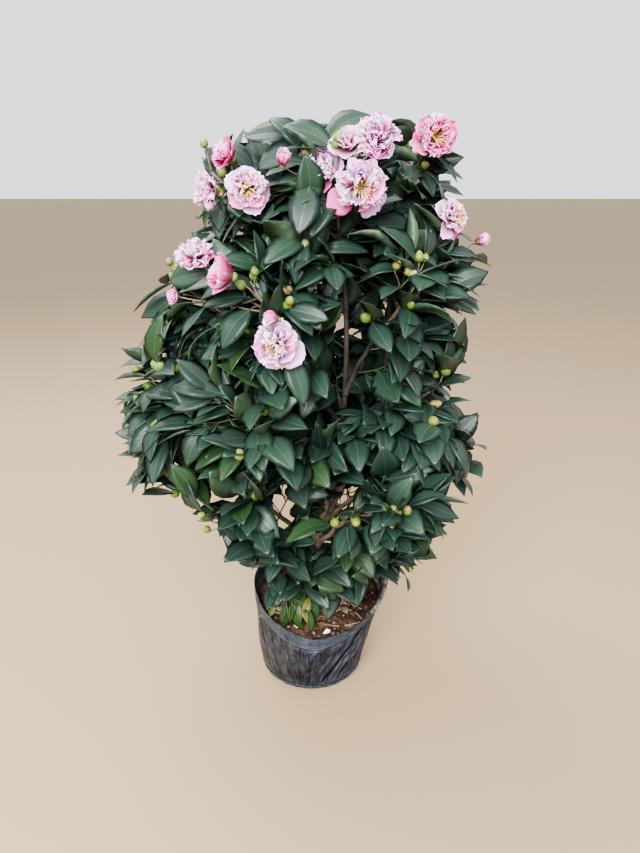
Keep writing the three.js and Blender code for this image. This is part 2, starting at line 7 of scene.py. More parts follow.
import bpy
import numpy as np
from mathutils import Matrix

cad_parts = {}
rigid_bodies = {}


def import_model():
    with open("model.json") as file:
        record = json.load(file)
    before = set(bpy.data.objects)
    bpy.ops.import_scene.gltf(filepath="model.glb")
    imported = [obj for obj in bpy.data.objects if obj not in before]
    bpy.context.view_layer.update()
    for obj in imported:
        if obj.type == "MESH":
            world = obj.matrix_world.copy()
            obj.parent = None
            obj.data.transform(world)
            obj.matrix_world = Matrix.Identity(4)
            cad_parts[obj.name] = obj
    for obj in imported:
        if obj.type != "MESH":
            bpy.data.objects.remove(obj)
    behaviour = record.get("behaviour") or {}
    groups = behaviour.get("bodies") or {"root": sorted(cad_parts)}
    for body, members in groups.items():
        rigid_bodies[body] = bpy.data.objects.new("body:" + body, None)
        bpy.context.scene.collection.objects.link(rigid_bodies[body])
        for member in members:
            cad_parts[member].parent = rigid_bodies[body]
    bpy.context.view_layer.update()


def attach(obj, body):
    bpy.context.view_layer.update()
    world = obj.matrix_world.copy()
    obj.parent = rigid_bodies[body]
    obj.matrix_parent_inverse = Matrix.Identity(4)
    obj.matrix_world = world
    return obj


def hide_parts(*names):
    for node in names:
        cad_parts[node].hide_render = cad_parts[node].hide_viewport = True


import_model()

# Trunk: a stem about as thick as a thumb, which leans to the right as it rises and then stands up.
# Its thin beige bark is finely cracked along the grain, with a low knot wherever a shoot once grew.
UP = np.array([0.0, 0.0, 1.0])
FULL_TURN = 6.28  # one round, near enough for a random start
TRUNK_FOOT = (-0.010, 0.004)
TRUNK_SWAY = (0.162, 0.016)
TRUNK_SPAN = (0.172, 0.965)
TRUNK_BURIED = 0.166  # its foot, under the soil
TRUNK_RADII = (0.0126, 0.0032)
ROOT_FLARE = (0.010, 0.016)  # how far it spreads, and over what height
BARK_BROWN = (0.160, 0.117, 0.084)
BARK_PALE = (0.340, 0.275, 0.212)
BARK_GREY = (0.062, 0.050, 0.039)
BARK_PAINTED_SHADE = (0.24, 0.25, 0.28)  # how much of its lightness the bark keeps up in the crown, as painted shade


def smooth(share):
    """Rises from 0 to 1 without a kink: three shares squared less two shares cubed."""
    share = np.clip(share, 0, 1)
    return share * share * (3 - 2 * share)


def unit(vectors):
    """Each vector over its own length."""
    return vectors / np.maximum(np.linalg.norm(vectors, axis=-1, keepdims=True), 1e-12)


def trunk_axis(height):
    """The trunk's middle line: it sways to the right and then back in two smooth steps of the height."""
    lean = smooth((height - 0.200) / 0.520)
    back = smooth((height - 0.500) / 0.500)
    across = TRUNK_FOOT[0] + TRUNK_SWAY[0] * lean
    deep = TRUNK_FOOT[1] + TRUNK_SWAY[1] * back
    return np.stack([across, deep, height + 0 * lean], axis=-1)


def trunk_radius(height):
    """A straight taper, plus a root flare that dies away with the height above the soil."""
    share = (height - TRUNK_SPAN[0]) / (TRUNK_SPAN[1] - TRUNK_SPAN[0])
    flare = ROOT_FLARE[0] * np.exp((TRUNK_SPAN[0] - height) / ROOT_FLARE[1])
    return TRUNK_RADII[0] + (TRUNK_RADII[1] - TRUNK_RADII[0]) * share + flare


def waves(places, count, lengths, seed):
    """A rolling surface from -1 to 1: the mean of cosines that run through the places in random
    directions, with wavelengths spread between the two lengths."""
    rng = np.random.default_rng(seed)
    ways = unit(rng.normal(size=(count, places.shape[-1])))
    steps = 2 * np.pi / rng.uniform(*lengths, size=count)
    return np.cos(places @ (ways * steps[:, None]).T + rng.uniform(0, FULL_TURN, count)).mean(axis=-1) * 1.6


def all_round(count):
    """Evenly spread turns that make one whole round."""
    return 2 * np.pi * np.arange(count) / count


def ring_faces(rows, sides):
    """The faces of rings of corners that follow one another: the walls between the rings, and a fan
    that closes the first and one that closes the last, round the two corners after all the rings."""
    row, k = np.meshgrid(np.arange(rows - 1), np.arange(sides), indexing="ij")
    low, near = row * sides + k, row * sides + (k + 1) % sides
    walls = np.stack([low, near, near + sides, low + sides], axis=-1).reshape(-1, 4)
    k, last = np.arange(sides), (rows - 1) * sides
    foot = np.stack([(k + 1) % sides, k, np.full(sides, rows * sides)], axis=-1)
    tip = np.stack([last + k, last + (k + 1) % sides, np.full(sides, rows * sides + 1)], axis=-1)
    return walls, foot, tip


def repeated(groups, count, corners):
    """The faces of many copies of a shape that has the given number of corners."""
    first = np.arange(count)[:, None, None] * corners
    return [(group + first).reshape(-1, group.shape[1]) for group in groups]


def tubes(paths, radii, sides):
    """Round limbs, many at once: at each point of a path a ring stands square to the path, its corner
    k lying one radius out at 2 pi k / sides, and a fan closes each end. Radii may differ by corner."""
    count, rows = paths.shape[:2]
    ahead = unit(np.gradient(paths, axis=1))
    chord = paths[:, -1] - paths[:, 0]
    flat = np.cross(chord, UP)
    flat[np.linalg.norm(flat, axis=1) < 0.05 * np.linalg.norm(chord, axis=1)] = (0, -1, 0)
    side = unit(flat)[:, None] - ahead * np.einsum("ni,nri->nr", unit(flat), ahead)[..., None]
    side = unit(side)
    over = np.cross(ahead, side)
    turn = all_round(sides)[:, None]
    ring = np.cos(turn) * side[:, :, None] + np.sin(turn) * over[:, :, None]
    radii = np.broadcast_to(radii if np.ndim(radii) == 3 else radii[..., None], (count, rows, sides))
    rings = (paths[:, :, None] + radii[..., None] * ring).reshape(count, rows * sides, 3)
    corners = np.concatenate([rings, paths[:, :1], paths[:, -1:]], axis=1)
    walls, foot, tip = ring_faces(rows, sides)
    return corners.reshape(-1, 3), repeated([walls, np.vstack([foot, tip])], *corners.shape[:2])


def add_piece(name, corners, faces, materials, places=None, uv=None, marks=None):
    """One mesh piece from whole arrays: faces is a list of arrays, each of faces with equally many
    corners, places gives each face's material, uv gives each corner's place on its surface, and marks
    are named numbers at each corner that a material can read."""
    mesh = bpy.data.meshes.new(name)
    sizes = np.concatenate([np.full(len(group), group.shape[1]) for group in faces])
    loops = np.concatenate([group.ravel() for group in faces]).astype(np.int32)
    mesh.vertices.add(len(corners))
    mesh.vertices.foreach_set("co", corners.astype(np.float32).ravel())
    mesh.loops.add(len(loops))
    mesh.loops.foreach_set("vertex_index", loops)
    mesh.polygons.add(len(sizes))
    mesh.polygons.foreach_set("loop_start", (np.cumsum(sizes) - sizes).astype(np.int32))
    mesh.polygons.foreach_set("use_smooth", np.ones(len(sizes), bool))
    for material in materials:
        mesh.materials.append(material)
    if places is not None:
        mesh.polygons.foreach_set("material_index", np.asarray(places, np.int32))
    if uv is not None:
        mesh.uv_layers.new(name="UVMap").uv.foreach_set("vector", uv[loops].astype(np.float32).ravel())
    for mark, values in (marks or {}).items():
        made = mesh.attributes.new(mark, "FLOAT", "POINT")
        made.data.foreach_set("value", np.asarray(values, np.float32).ravel())
    mesh.update(calc_edges=True)
    piece = bpy.data.objects.new(name, mesh)
    bpy.context.scene.collection.objects.link(piece)
    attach(piece, "root")
    return piece


def wire(material, kind, values=None, **options):
    """Adds one shader node: a value is a number, a colour or another node's output."""
    made = material.node_tree.nodes.new("ShaderNode" + kind)
    for option, value in options.items():
        setattr(made, option, value)
    for socket, value in (values or {}).items():
        if isinstance(value, bpy.types.NodeSocket):
            material.node_tree.links.new(value, made.inputs[socket])
        else:
            made.inputs[socket].default_value = value
    return made


def new_material(name, colour, roughness, **settings):
    """A surface with one base colour, whose further settings are the shader's own sockets."""
    material = bpy.data.materials.new(name)
    material.use_nodes = True
    shader = material.node_tree.nodes["Principled BSDF"]
    shader.inputs["Base Color"].default_value = (*colour, 1)
    shader.inputs["Roughness"].default_value = roughness
    for socket, value in settings.items():
        shader.inputs[socket.replace("_", " ")].default_value = value
    return material


def own_place(material):
    """Where a point of the surface lies along the piece's own axes, in metres."""
    return wire(material, "TexCoord").outputs["Object"]


def noise(material, place, scale, detail=4.0, rough=0.55, stretch=(1, 1, 1)):
    """Fractal noise from 0 to 1 over the given coordinates, drawn out along an axis by stretch."""
    drawn = wire(material, "Mapping", {"Vector": place, "Scale": stretch}).outputs["Vector"]
    values = {"Vector": drawn, "Scale": scale, "Detail": detail, "Roughness": rough}
    return wire(material, "TexNoise", values).outputs["Fac"]


def ramp(material, share, stops):
    """Colours mixed along a share from 0 to 1. A single number stands for a grey."""
    made = wire(material, "ValToRGB", {"Fac": share})
    while len(made.color_ramp.elements) < len(stops):
        made.color_ramp.elements.new(0.5)
    for element, (place, colour) in zip(made.color_ramp.elements, stops):
        element.position = place
        element.color = (*np.broadcast_to(colour, 3), 1)
    return made.outputs["Color"]


def mixed(material, share, first, second, blend="MIX"):
    """Two colours mixed by a share."""
    values = {0: share, 6: first, 7: second}
    return wire(material, "Mix", values, data_type="RGBA", blend_type=blend).outputs[2]


def join_to(material, output, socket):
    """Feeds an output to a socket of the surface's shader."""
    shader = material.node_tree.nodes["Principled BSDF"]
    material.node_tree.links.new(output, shader.inputs[socket])


def bump(material, height, strength, distance):
    """Raises the surface where the height is light."""
    values = {"Height": height, "Strength": strength, "Distance": distance}
    join_to(material, wire(material, "Bump", values).outputs["Normal"], "Normal")


def bark_material(name, grain):
    """Beige bark: long pale and brown streaks, grey specks of lichen, and cracks along the grain. It
    is beige near the foot and darker up in the crown, where the darkening is painted shade."""
    material = new_material(name, BARK_BROWN, 0.8, Specular_IOR_Level=0.25)
    place = own_place(material)
    streaks = noise(material, place, 34, 6, 0.62, grain)
    specks = noise(material, place, 240, 3, 0.6)
    cracks = noise(material, place, 150, 5, 0.7, grain)
    bark = ramp(material, streaks, [(0.32, BARK_GREY), (0.47, BARK_BROWN), (0.66, BARK_PALE)])
    dark = ramp(material, cracks, [(0.36, (0.30, 0.26, 0.22)), (0.46, 1)])
    bark = mixed(material, 0.75, bark, dark, "MULTIPLY")
    spots = ramp(material, specks, [(0.62, 0), (0.70, 1)])
    bark = mixed(material, spots, bark, (0.27, 0.26, 0.22, 1))
    # Painted shade: the bark darkens with the height, between 0.36 m and 0.62 m.
    height = wire(material, "SeparateXYZ", {"Vector": place}).outputs["Z"]
    painted_shade = ramp(material, height, [(0.36, 1), (0.62, BARK_PAINTED_SHADE)])
    join_to(material, mixed(material, 1.0, bark, painted_shade, "MULTIPLY"), "Base Color")
    bump(material, mixed(material, 0.35, cracks, streaks), 0.55, 0.0012)
    return material


upright_bark = bark_material("upright_bark", (1, 1, 0.16))


def turn_from(turn, place):
    """How far a turn lies from a place on the round, at most half a round either way."""
    return (turn - place + np.pi) % (2 * np.pi) - np.pi


def bark_relief(paths, radii, sides, seed, knots):
    """The radius at each corner of a limb: the plain one, an uneven swell, shallow grooves that wander
    along the grain (a cosine round the limb with its trough drawn sharp), and a few low round knots."""
    rng = np.random.default_rng(seed)
    along = np.linalg.norm(np.diff(paths, axis=0, prepend=paths[:1]), axis=1).cumsum()
    turns, ways = np.meshgrid(all_round(sides), along)
    places = np.stack([np.cos(turns) * 0.02, np.sin(turns) * 0.02, ways], axis=-1)
    swell = 0.07 * waves(places, 9, (0.03, 0.09), seed)
    drift = 1.3 * waves(places * (0.4, 0.4, 1), 6, (0.05, 0.2), seed + 1)
    grooves = np.abs(np.cos(2.5 * turns + 2.2 * drift)) ** 0.35 - 0.8
    fine = waves(places * (4, 4, 0.5), 10, (0.012, 0.03), seed + 2)
    relief = swell + 0.05 * grooves + 0.028 * fine
    for _ in range(knots):
        at, way = rng.uniform(0.04, along[-1]), rng.uniform(0, 2 * np.pi)
        around = turn_from(turns, way)
        relief += rng.uniform(0.12, 0.3) * np.exp(-(around / 0.55) ** 2 - ((ways - at) / 0.006) ** 2)
    return radii[:, None] * (1 + relief)


def upright(name, axis, radius, span, rows, sides, seed, knots):
    """A limb whose middle line and radius are functions of the height."""
    height = np.linspace(*span, rows)
    path = axis(height)
    radii = bark_relief(path, radius(height), sides, seed, knots)
    piece = add_piece(name, *tubes(path[None], radii[None], sides), [upright_bark])
    return piece


trunk = upright("trunk_bark", trunk_axis, trunk_radius, (TRUNK_BURIED, TRUNK_SPAN[1]), 420, 40, 11, 16)
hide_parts("trunk")

# Leader: a second stem that forks off low on the left and climbs in front of the trunk. It carries
# the same bark, and swells where it leaves the trunk.
LEADER_SPAN = (0.300, 0.965)
LEADER_OUT = 0.190
LEADER_BACK = 0.145
LEADER_FORWARD = (0.060, 0.035)
LEADER_RADII = (0.0082, 0.0030)


def leader_axis(height):
    """Out to the right by a share of the height and back by its square; forward in a smooth step and
    by the share cubed."""
    share = (height - LEADER_SPAN[0]) / (LEADER_SPAN[1] - LEADER_SPAN[0])
    start = trunk_axis(np.array(LEADER_SPAN[0]))
    across = start[0] + LEADER_OUT * share - LEADER_BACK * share ** 2
    deep = start[1] - LEADER_FORWARD[0] * smooth(share / 0.35) - LEADER_FORWARD[1] * share ** 3
    return np.stack([across, deep, height + 0 * share], axis=-1)


def leader_radius(height):
    """A straight taper, with a swelling at the fork that dies away along the stem."""
    share = (height - LEADER_SPAN[0]) / (LEADER_SPAN[1] - LEADER_SPAN[0])
    swelling = 0.0022 * np.exp(-share / 0.03)
    return LEADER_RADII[0] + (LEADER_RADII[1] - LEADER_RADII[0]) * share + swelling


leader = upright("leader_bark", leader_axis, leader_radius, LEADER_SPAN, 300, 32, 23, 10)
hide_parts("left_leader")

# Boughs: thinner limbs of the same wood, each bowing up from the trunk or the leader to the place
# where it enters its own mass of foliage. The masses stand in tiers round the crown's outline.
OUTLINE = np.array([  # height, reach to the left, reach to the right
    [0.235, 0.195, 0.230], [0.330, 0.238, 0.270], [0.425, 0.330, 0.338], [0.500, 0.415, 0.355],
    [0.650, 0.400, 0.325], [0.800, 0.356, 0.305], [0.900, 0.285, 0.350], [0.950, 0.264, 0.290],
    [1.090, 0.207, 0.265], [1.156, 0.170, 0.255]])
CROWN_DEPTH = 0.46  # depth to one side, as a share of the whole width
TIERS = [  # name, height, place as a share of the reach, bearings, first bough's height, step
    ("skirt", 0.335, 0.58, (235, 325, 55, 145), 0.226, 0.013),
    ("low", 0.490, 0.62, (238, 305, 180, 125, 70, 5), 0.268, 0.017),
    ("middle", 0.662, 0.61, (196, 246, 338, 48, 118), 0.430, 0.028),
    ("upper", 0.845, 0.60, (186, 252, 322, 28, 108), 0.600, 0.032),
    ("top", 1.035, 0.56, (15, 285, 195, 105), 0.790, 0.016)]
BASAL_CENTRE = np.array([-0.054, -0.074, 0.226])
BASAL_FROM = 0.200
LEADER_BEARS = 0.060  # how far above its fork the leader bears its first bough
BOUGH_RADIUS = (0.0050, 0.0036)
BOUGH_SHORT = 0.062  # how far short of its mass's centre a bough ends
BOUGH_BOW = (0.16, 0.13)  # its bow to one side and upwards, as shares of its length


def stream(seed):
    """A repeatable stream of numbers from 0 to 1: the state times 1664525, plus 1013904223, is kept
    below 2 to the 32nd power and divided by it."""
    state = 7919 * (seed + 1)

    def following():
        nonlocal state
        state = (state * 1664525 + 1013904223) % 4294967296
        return state / 4294967296

    following()
    following()
    return following


def reach_at(height, outline=OUTLINE):
    """How far an outline reaches to the left, to the right and in depth at a height."""
    left, right = [np.interp(height, outline[:, 0], outline[:, side]) for side in (1, 2)]
    return left, right, CROWN_DEPTH * (left + right)


def within(outline, points, inset, top_share=1.0):
    """Whether points lie in an outline: an ellipse at each height, with its own reach to each side.
    They keep the inset from its sides, and a share of it from its top."""
    left, right, depth = reach_at(points[..., 2], outline)
    across = np.where(points[..., 0] > 0, right, left) - inset
    round_share = (points[..., 0] / across) ** 2 + (points[..., 1] / (depth - inset)) ** 2
    return (round_share <= 1) & (points[..., 2] <= outline[-1, 0] - inset * top_share)


def bezier(start, knee, end, share):
    """A quadratic curve: from the start to the end, pulled towards the knee."""
    share = np.asarray(share, float)[..., None]
    return (1 - share) ** 2 * start + 2 * share * (1 - share) * knee + share ** 2 * end


def bezier_heading(start, knee, end, share):
    """The curve's direction: from the start to the knee at first, and from the knee to the end at last."""
    share = np.asarray(share, float)[..., None]
    return unit((1 - share) * (knee - start) + share * (end - knee))


def level(vector):
    """The direction of a vector's level part."""
    return unit(vector * (1, 1, 0))


uprights = [
    {"axis": trunk_axis, "radius": trunk_radius, "top": TRUNK_SPAN[1]},
    {"axis": leader_axis, "radius": leader_radius, "top": LEADER_SPAN[1]}]
masses = []
for tier, height, ring, bearings, first_from, step in TIERS:
    for i, bearing in enumerate(np.radians(bearings)):
        left, right, depth = reach_at(height)
        across = right if np.cos(bearing) > 0 else left
        reach = ring / np.hypot(np.cos(bearing) / across, np.sin(bearing) / depth)
        centre = np.array([reach * np.cos(bearing), reach * np.sin(bearing), height])
        leaves_at = first_from + i * step
        choices = uprights if leaves_at > LEADER_SPAN[0] + LEADER_BEARS else uprights[:1]
        away = [np.linalg.norm((each["axis"](np.array(leaves_at)) - centre)[:2]) for each in choices]
        masses.append({
            "name": f"{tier}_{i + 1}", "tier": tier, "centre": centre, "from": leaves_at,
            "parent": choices[int(np.argmin(away))], "on_tip": tier == "top" and i < 2})
masses.append({
    "name": "basal", "tier": "basal", "centre": BASAL_CENTRE, "from": BASAL_FROM,
    "parent": uprights[0], "on_tip": False})
BASAL = len(masses) - 1
for i, mass in enumerate(masses):
    if mass["on_tip"]:
        parent = uprights[int(mass["name"][-1]) - 1]
        tip = np.array(parent["top"])
        mass["root"] = parent["axis"](tip)
        mass["heading"] = unit(parent["axis"](tip) - parent["axis"](tip - 0.0005))
        mass["root_radius"] = float(parent["radius"](tip))
        continue
    start = mass["parent"]["axis"](np.array(mass["from"]))
    inward = unit(mass["centre"] - start)
    end = mass["centre"] - BOUGH_SHORT * inward
    length = np.linalg.norm(end - start)
    aside = unit(np.cross(inward, UP)) * (stream(i)() - 0.5) * BOUGH_BOW[0] * length
    bend = (start + end) / 2 + UP * BOUGH_BOW[1] * length + aside
    mass["root"], mass["heading"] = end, unit(end - bend)
    mass["root_radius"] = BOUGH_RADIUS[1]
    if mass["name"] == "basal":
        mass["root"], mass["heading"] = start, inward
        continue
    mass["bough"] = (start, bend, end)


def wander(paths, lengths, seed):
    """A slow drift along each path in all three directions, from -1 to 1."""
    return np.stack([waves(paths, 4, lengths, seed + axis) for axis in range(3)], axis=-1)


bough_bark = bark_material("bough_bark", (0.5, 0.5, 0.3))
for i, mass in enumerate(masses):
    if "bough" not in mass:
        continue
    base = max(0.55 * float(mass["parent"]["radius"](np.array(mass["from"]))), BOUGH_RADIUS[0])
    share = np.linspace(0, 1, 90)
    path = bezier(*mass["bough"], share)
    path += 0.0022 * np.sin(np.pi * share)[:, None] * wander(path, (0.03, 0.08), 300 + 3 * i)
    radii = base + (mass["root_radius"] - base) * share ** 0.8 + 0.0025 * np.exp(-share / 0.05)
    radii = bark_relief(path, radii, 20, 40 + i, 3)
    piece = add_piece("bough_bark_" + mass["name"], *tubes(path[None], radii[None], 20), [bough_bark])
    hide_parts("bough_" + mass["name"])

# Flowers: double, the size of a palm, each on a short twig of its own. A few broad outer petals stand
# round a crowd of small crumpled ones, in white, pale pink, lilac and rose, and a tuft of yellow
# stamens shows where the crowd parts.
GOLDEN = math.pi * (3 - math.sqrt(5))
FLOWERS = [  # place across, height, size, bearing to the right of the front, tilt up, kind
    (-0.088, 1.030, 0.064, 4, 12, "open"),
    (-0.150, 1.024, 0.060, -58, 6, "side"),
    (-0.118, 1.074, 0.058, -50, 30, "rosy"),
    (0.018, 1.058, 0.060, -8, 4, "shaded"),
    (0.060, 1.090, 0.046, -12, 34, "cup"),
    (0.102, 1.099, 0.070, -18, 34, "dome"),
    (0.200, 1.105, 0.074, 12, 16, "deep"),
    (0.081, 1.032, 0.080, 5, 8, "drooping"),
    (0.236, 0.985, 0.062, 40, 20, "open"),
    (-0.175, 0.932, 0.060, -30, 58, "dome"),
    (-0.116, 0.908, 0.062, -72, 14, "hot"),
    (-0.047, 0.812, 0.074, -6, 16, "open"),
    (0.290, 0.941, 0.034, 60, 20, "opening"),
    (-0.034, 1.063, 0.034, 10, 45, "opening"),
    (-0.043, 0.852, 0.030, -62, 12, "opening"),
    (-0.205, 0.872, 0.028, -40, 10, "rosy")]
SET_BACK = {"shaded": 0.046, "cup": 0.022}  # how far some flowers sit behind the outline
BACK_FLOWERS = (6, 25, 27, (1.065, 0.985, 0.870), 0.072)  # count, first bearing, step, heights, size


def flower_at(across, height, size, back):
    """A flower's place, on the outline and a little inside it, and the mass it belongs to."""
    left, right, depth = reach_at(height)
    edge = right if across > 0 else left
    share = math.sqrt(max(1 - (across / edge) ** 2, 0.04))
    spot = np.array([across, (1 if back else -1) * max(depth * share - 0.3 * size, 0), height])
    return spot, min(masses, key=lambda mass: np.linalg.norm(mass["centre"] - spot))


flowers = []
for across, height, size, bearing, tilt, kind in FLOWERS:
    spot, mass = flower_at(across, height, size, False)
    spot = spot + (0, SET_BACK.get(kind, 0), 0)
    bearing, tilt = math.radians(bearing), math.radians(tilt)
    facing = np.array([math.sin(bearing) * math.cos(tilt), -math.cos(bearing) * math.cos(tilt),
                       math.sin(tilt)])
    flowers.append({"spot": spot, "mass": mass, "size": size, "facing": facing, "kind": kind})
count, first, step, heights, size = BACK_FLOWERS
for i in range(count):
    height = heights[i % len(heights)]
    across = reach_at(height)[2] * 0.86 * math.cos(math.radians(first + i * step))
    spot, mass = flower_at(across, height, size, True)
    facing = unit(level(spot) + 0.45 * UP)
    kind = ("open", "dome", "open", "deep")[i % 4]
    flowers.append({"spot": spot, "mass": mass, "size": size, "facing": facing, "kind": kind})

# Each ring of outer petals: count, length, width, opening, curl, ruffle, and the arc it fills from its
# first to its last degree, where 90 is the flower's lower side. The crowd of small petals: count, reach,
# widest opening, width, ruffle and how far above the middle it sits. Lengths are shares of the flower's
# size. Outer, inner, and tints for single rings: the shares of petals that are pale, pink, rose, lilac
# and white.
FLOWER_KINDS = {
    "open": {
        "rings": [
            (3, 0.57, 0.58, 92, -0.14, 0.07, (10, 190)),
            (3, 0.51, 0.54, 84, 0.0, 0.08, (180, 360)),
            (5, 0.46, 0.44, 72, 0.04, 0.12, (36, 396))],
        "crowd": (32, 0.32, 64, 0.27, 0.30, 0.02), "stamens": 34,
        "outer": (0.26, 0.16, 0.0, 0.58, 0.0), "inner": (0.44, 0.12, 0.0, 0.10, 0.34)},
    "drooping": {
        "rings": [
            (1, 0.74, 0.54, 100, -0.20, 0.10, (16, 56)),
            (1, 0.78, 0.64, 98, -0.16, 0.08, (106, 146)),
            (3, 0.42, 0.52, 84, 0.0, 0.10, (170, 370)),
            (5, 0.40, 0.44, 74, 0.04, 0.12, (150, 390))],
        "tints": {0: (0.0, 1.0, 0.0, 0.0, 0.0), 1: (0.0, 0.0, 0.0, 1.0, 0.0)},
        "crowd": (40, 0.35, 80, 0.26, 0.32, 0.04), "stamens": 26,
        "outer": (0.10, 0.36, 0.0, 0.54, 0.0), "inner": (0.44, 0.10, 0.0, 0.20, 0.26)},
    "side": {
        "rings": [
            (6, 0.52, 0.48, 70, 0.16, 0.08, (0, 360)),
            (6, 0.50, 0.42, 50, 0.20, 0.10, (30, 390))],
        "crowd": (38, 0.45, 60, 0.28, 0.22, 0.0), "stamens": 8,
        "outer": (0.34, 0.44, 0.0, 0.22, 0.0), "inner": (0.64, 0.18, 0.0, 0.10, 0.08)},
    "shaded": {
        "rings": [
            (5, 0.58, 0.56, 78, 0.06, 0.08, (0, 360)),
            (5, 0.52, 0.46, 54, 0.16, 0.10, (36, 396))],
        "crowd": (26, 0.40, 52, 0.28, 0.24, 0.0), "stamens": 12,
        "outer": (0.50, 0.40, 0.0, 0.10, 0.0), "inner": (0.70, 0.22, 0.0, 0.0, 0.08)},
    "cup": {
        "rings": [
            (5, 0.64, 0.64, 62, 0.08, 0.05, (0, 360)),
            (4, 0.54, 0.54, 42, 0.14, 0.06, (36, 396))],
        "crowd": (12, 0.46, 30, 0.34, 0.14, 0.0), "stamens": 0,
        "outer": (0.55, 0.35, 0.0, 0.10, 0.0), "inner": (0.60, 0.40, 0.0, 0.0, 0.0)},
    "hot": {
        "rings": [
            (6, 0.66, 0.58, 50, 0.12, 0.07, (0, 360)),
            (5, 0.64, 0.50, 34, 0.16, 0.08, (36, 396))],
        "crowd": (10, 0.50, 26, 0.30, 0.12, 0.0), "stamens": 0,
        "outer": (0.10, 0.72, 0.18, 0.0, 0.0), "inner": (0.35, 0.65, 0.0, 0.0, 0.0)},
    "rosy": {
        "rings": [
            (6, 0.54, 0.50, 58, 0.18, 0.07, (0, 360)),
            (5, 0.50, 0.44, 38, 0.24, 0.08, (36, 396))],
        "crowd": (16, 0.44, 34, 0.28, 0.18, 0.0), "stamens": 0,
        "outer": (0.15, 0.66, 0.09, 0.10, 0.0), "inner": (0.20, 0.65, 0.15, 0.0, 0.0)},
    "dome": {
        "rings": [
            (6, 0.46, 0.46, 96, 0.02, 0.08, (0, 360)),
            (6, 0.44, 0.40, 76, 0.20, 0.10, (30, 390))],
        "crowd": (42, 0.40, 78, 0.26, 0.26, 0.0), "stamens": 0,
        "outer": (0.06, 0.80, 0.10, 0.04, 0.0), "inner": (0.50, 0.22, 0.0, 0.10, 0.18)},
    "deep": {
        "rings": [
            (6, 0.49, 0.50, 82, 0.22, 0.07, (0, 360)),
            (4, 0.46, 0.44, 62, 0.32, 0.10, (45, 405))],
        "crowd": (56, 0.32, 66, 0.14, 0.42, 0.0), "stamens": 30,
        "outer": (0.0, 0.30, 0.70, 0.0, 0.0), "inner": (0.28, 0.54, 0.12, 0.0, 0.06)},
    "opening": {
        "rings": [
            (5, 0.80, 0.66, 22, 0.10, 0.03, (0, 360)),
            (5, 0.74, 0.56, 12, 0.10, 0.03, (36, 396))],
        "crowd": (5, 0.66, 6, 0.40, 0.05, 0.0), "stamens": 0,
        "outer": (0.25, 0.65, 0.0, 0.0, 0.10), "inner": (0.3, 0.7, 0.0, 0.0, 0.0)}}
PARTED = (math.radians(17), math.radians(25))  # where the crowd parts below the middle, and how wide
FEW_STAMENS = 20  # so few stay hidden in the crowd, which doesn't part for them
OUTER_GRID, CROWD_GRID = (8, 9), (7, 9)  # corners along and across a petal


def petal_grid(shape):
    """Shares along a petal, closer together towards its rim, and shares across it from -1 to 1."""
    along = np.sin(0.5 * np.pi * np.linspace(0, 1, shape[0])) ** 0.95
    return np.meshgrid(along, np.linspace(-1, 1, shape[1]), indexing="ij")


def petals(shape, foot, ahead, inward, length, width, curl, cup, ruffle, rag, phase):
    """Petals, many at once, on a grid: v runs from the foot to the rim and u from edge to edge. The
    width swells as a sine of v and closes to a round end, the rim is made ragged by a sine of u, the
    blade curls by v squared, cups by u squared and ruffles more towards its rim."""
    v, u = petal_grid(shape)
    swell = 0.16 + 0.84 * np.sin(np.pi * 0.5 * np.minimum(v / 0.62, 1)) ** 1.3
    swell = swell * np.sqrt(1 - 0.78 * np.clip((v - 0.62) / 0.38, 0, 1) ** 2)
    each = [value[:, None, None] for value in (length, width, curl, cup, ruffle, rag, phase)]
    length, width, curl, cup, ruffle, rag, phase = each
    notch = 0.5 * rag * np.exp(-(u / 0.22) ** 2) - 0.3 * rag * np.sin(8.5 * u + 3 * phase)
    rim = 1 - 0.12 * u ** 2 * v ** 2 - notch * v ** 4
    frill = np.sin(2.3 * np.pi * u + phase) + 0.5 * np.sin(4.3 * np.pi * u + 2.1 * phase)
    lift = length * (curl * v ** 2 + 0.42 * ruffle * frill * v ** 2.2)
    lift = lift + cup * width * (u ** 2) * swell * (0.5 + 0.5 * v)
    out = length * v * rim - 0.25 * np.abs(curl) * length * v ** 3
    aside = 0.5 * width * swell * u
    across = np.cross(ahead, inward)
    directions = [way[:, None, None, :] for way in (ahead, across, inward)]
    shifts = [out[..., None], aside[..., None], lift[..., None]]
    grid = foot[:, None, None, :] + sum(way * shift for way, shift in zip(directions, shifts))
    return grid.reshape(len(foot), -1, 3)


def flower_frame(flower):
    """Two directions square to a flower's facing: one level, the other pointing down its face."""
    side = unit(np.cross(flower["facing"], UP))
    return side, np.cross(flower["facing"], side)


def parting_way(flower):
    """Where the crowd of petals parts and the stamens stand: turned down a little from the facing."""
    return np.cos(PARTED[0]) * flower["facing"] + np.sin(PARTED[0]) * flower_frame(flower)[1]


def behind(flower, share):
    """A point behind a flower's middle by a share of its size."""
    return flower["spot"] - flower["facing"] * flower["size"] * share


def swung(angle, first, second):
    """Directions swung from the first towards the second: one times the angle's cosine, and the other
    times its sine."""
    return np.cos(angle)[:, None] * first + np.sin(angle)[:, None] * second


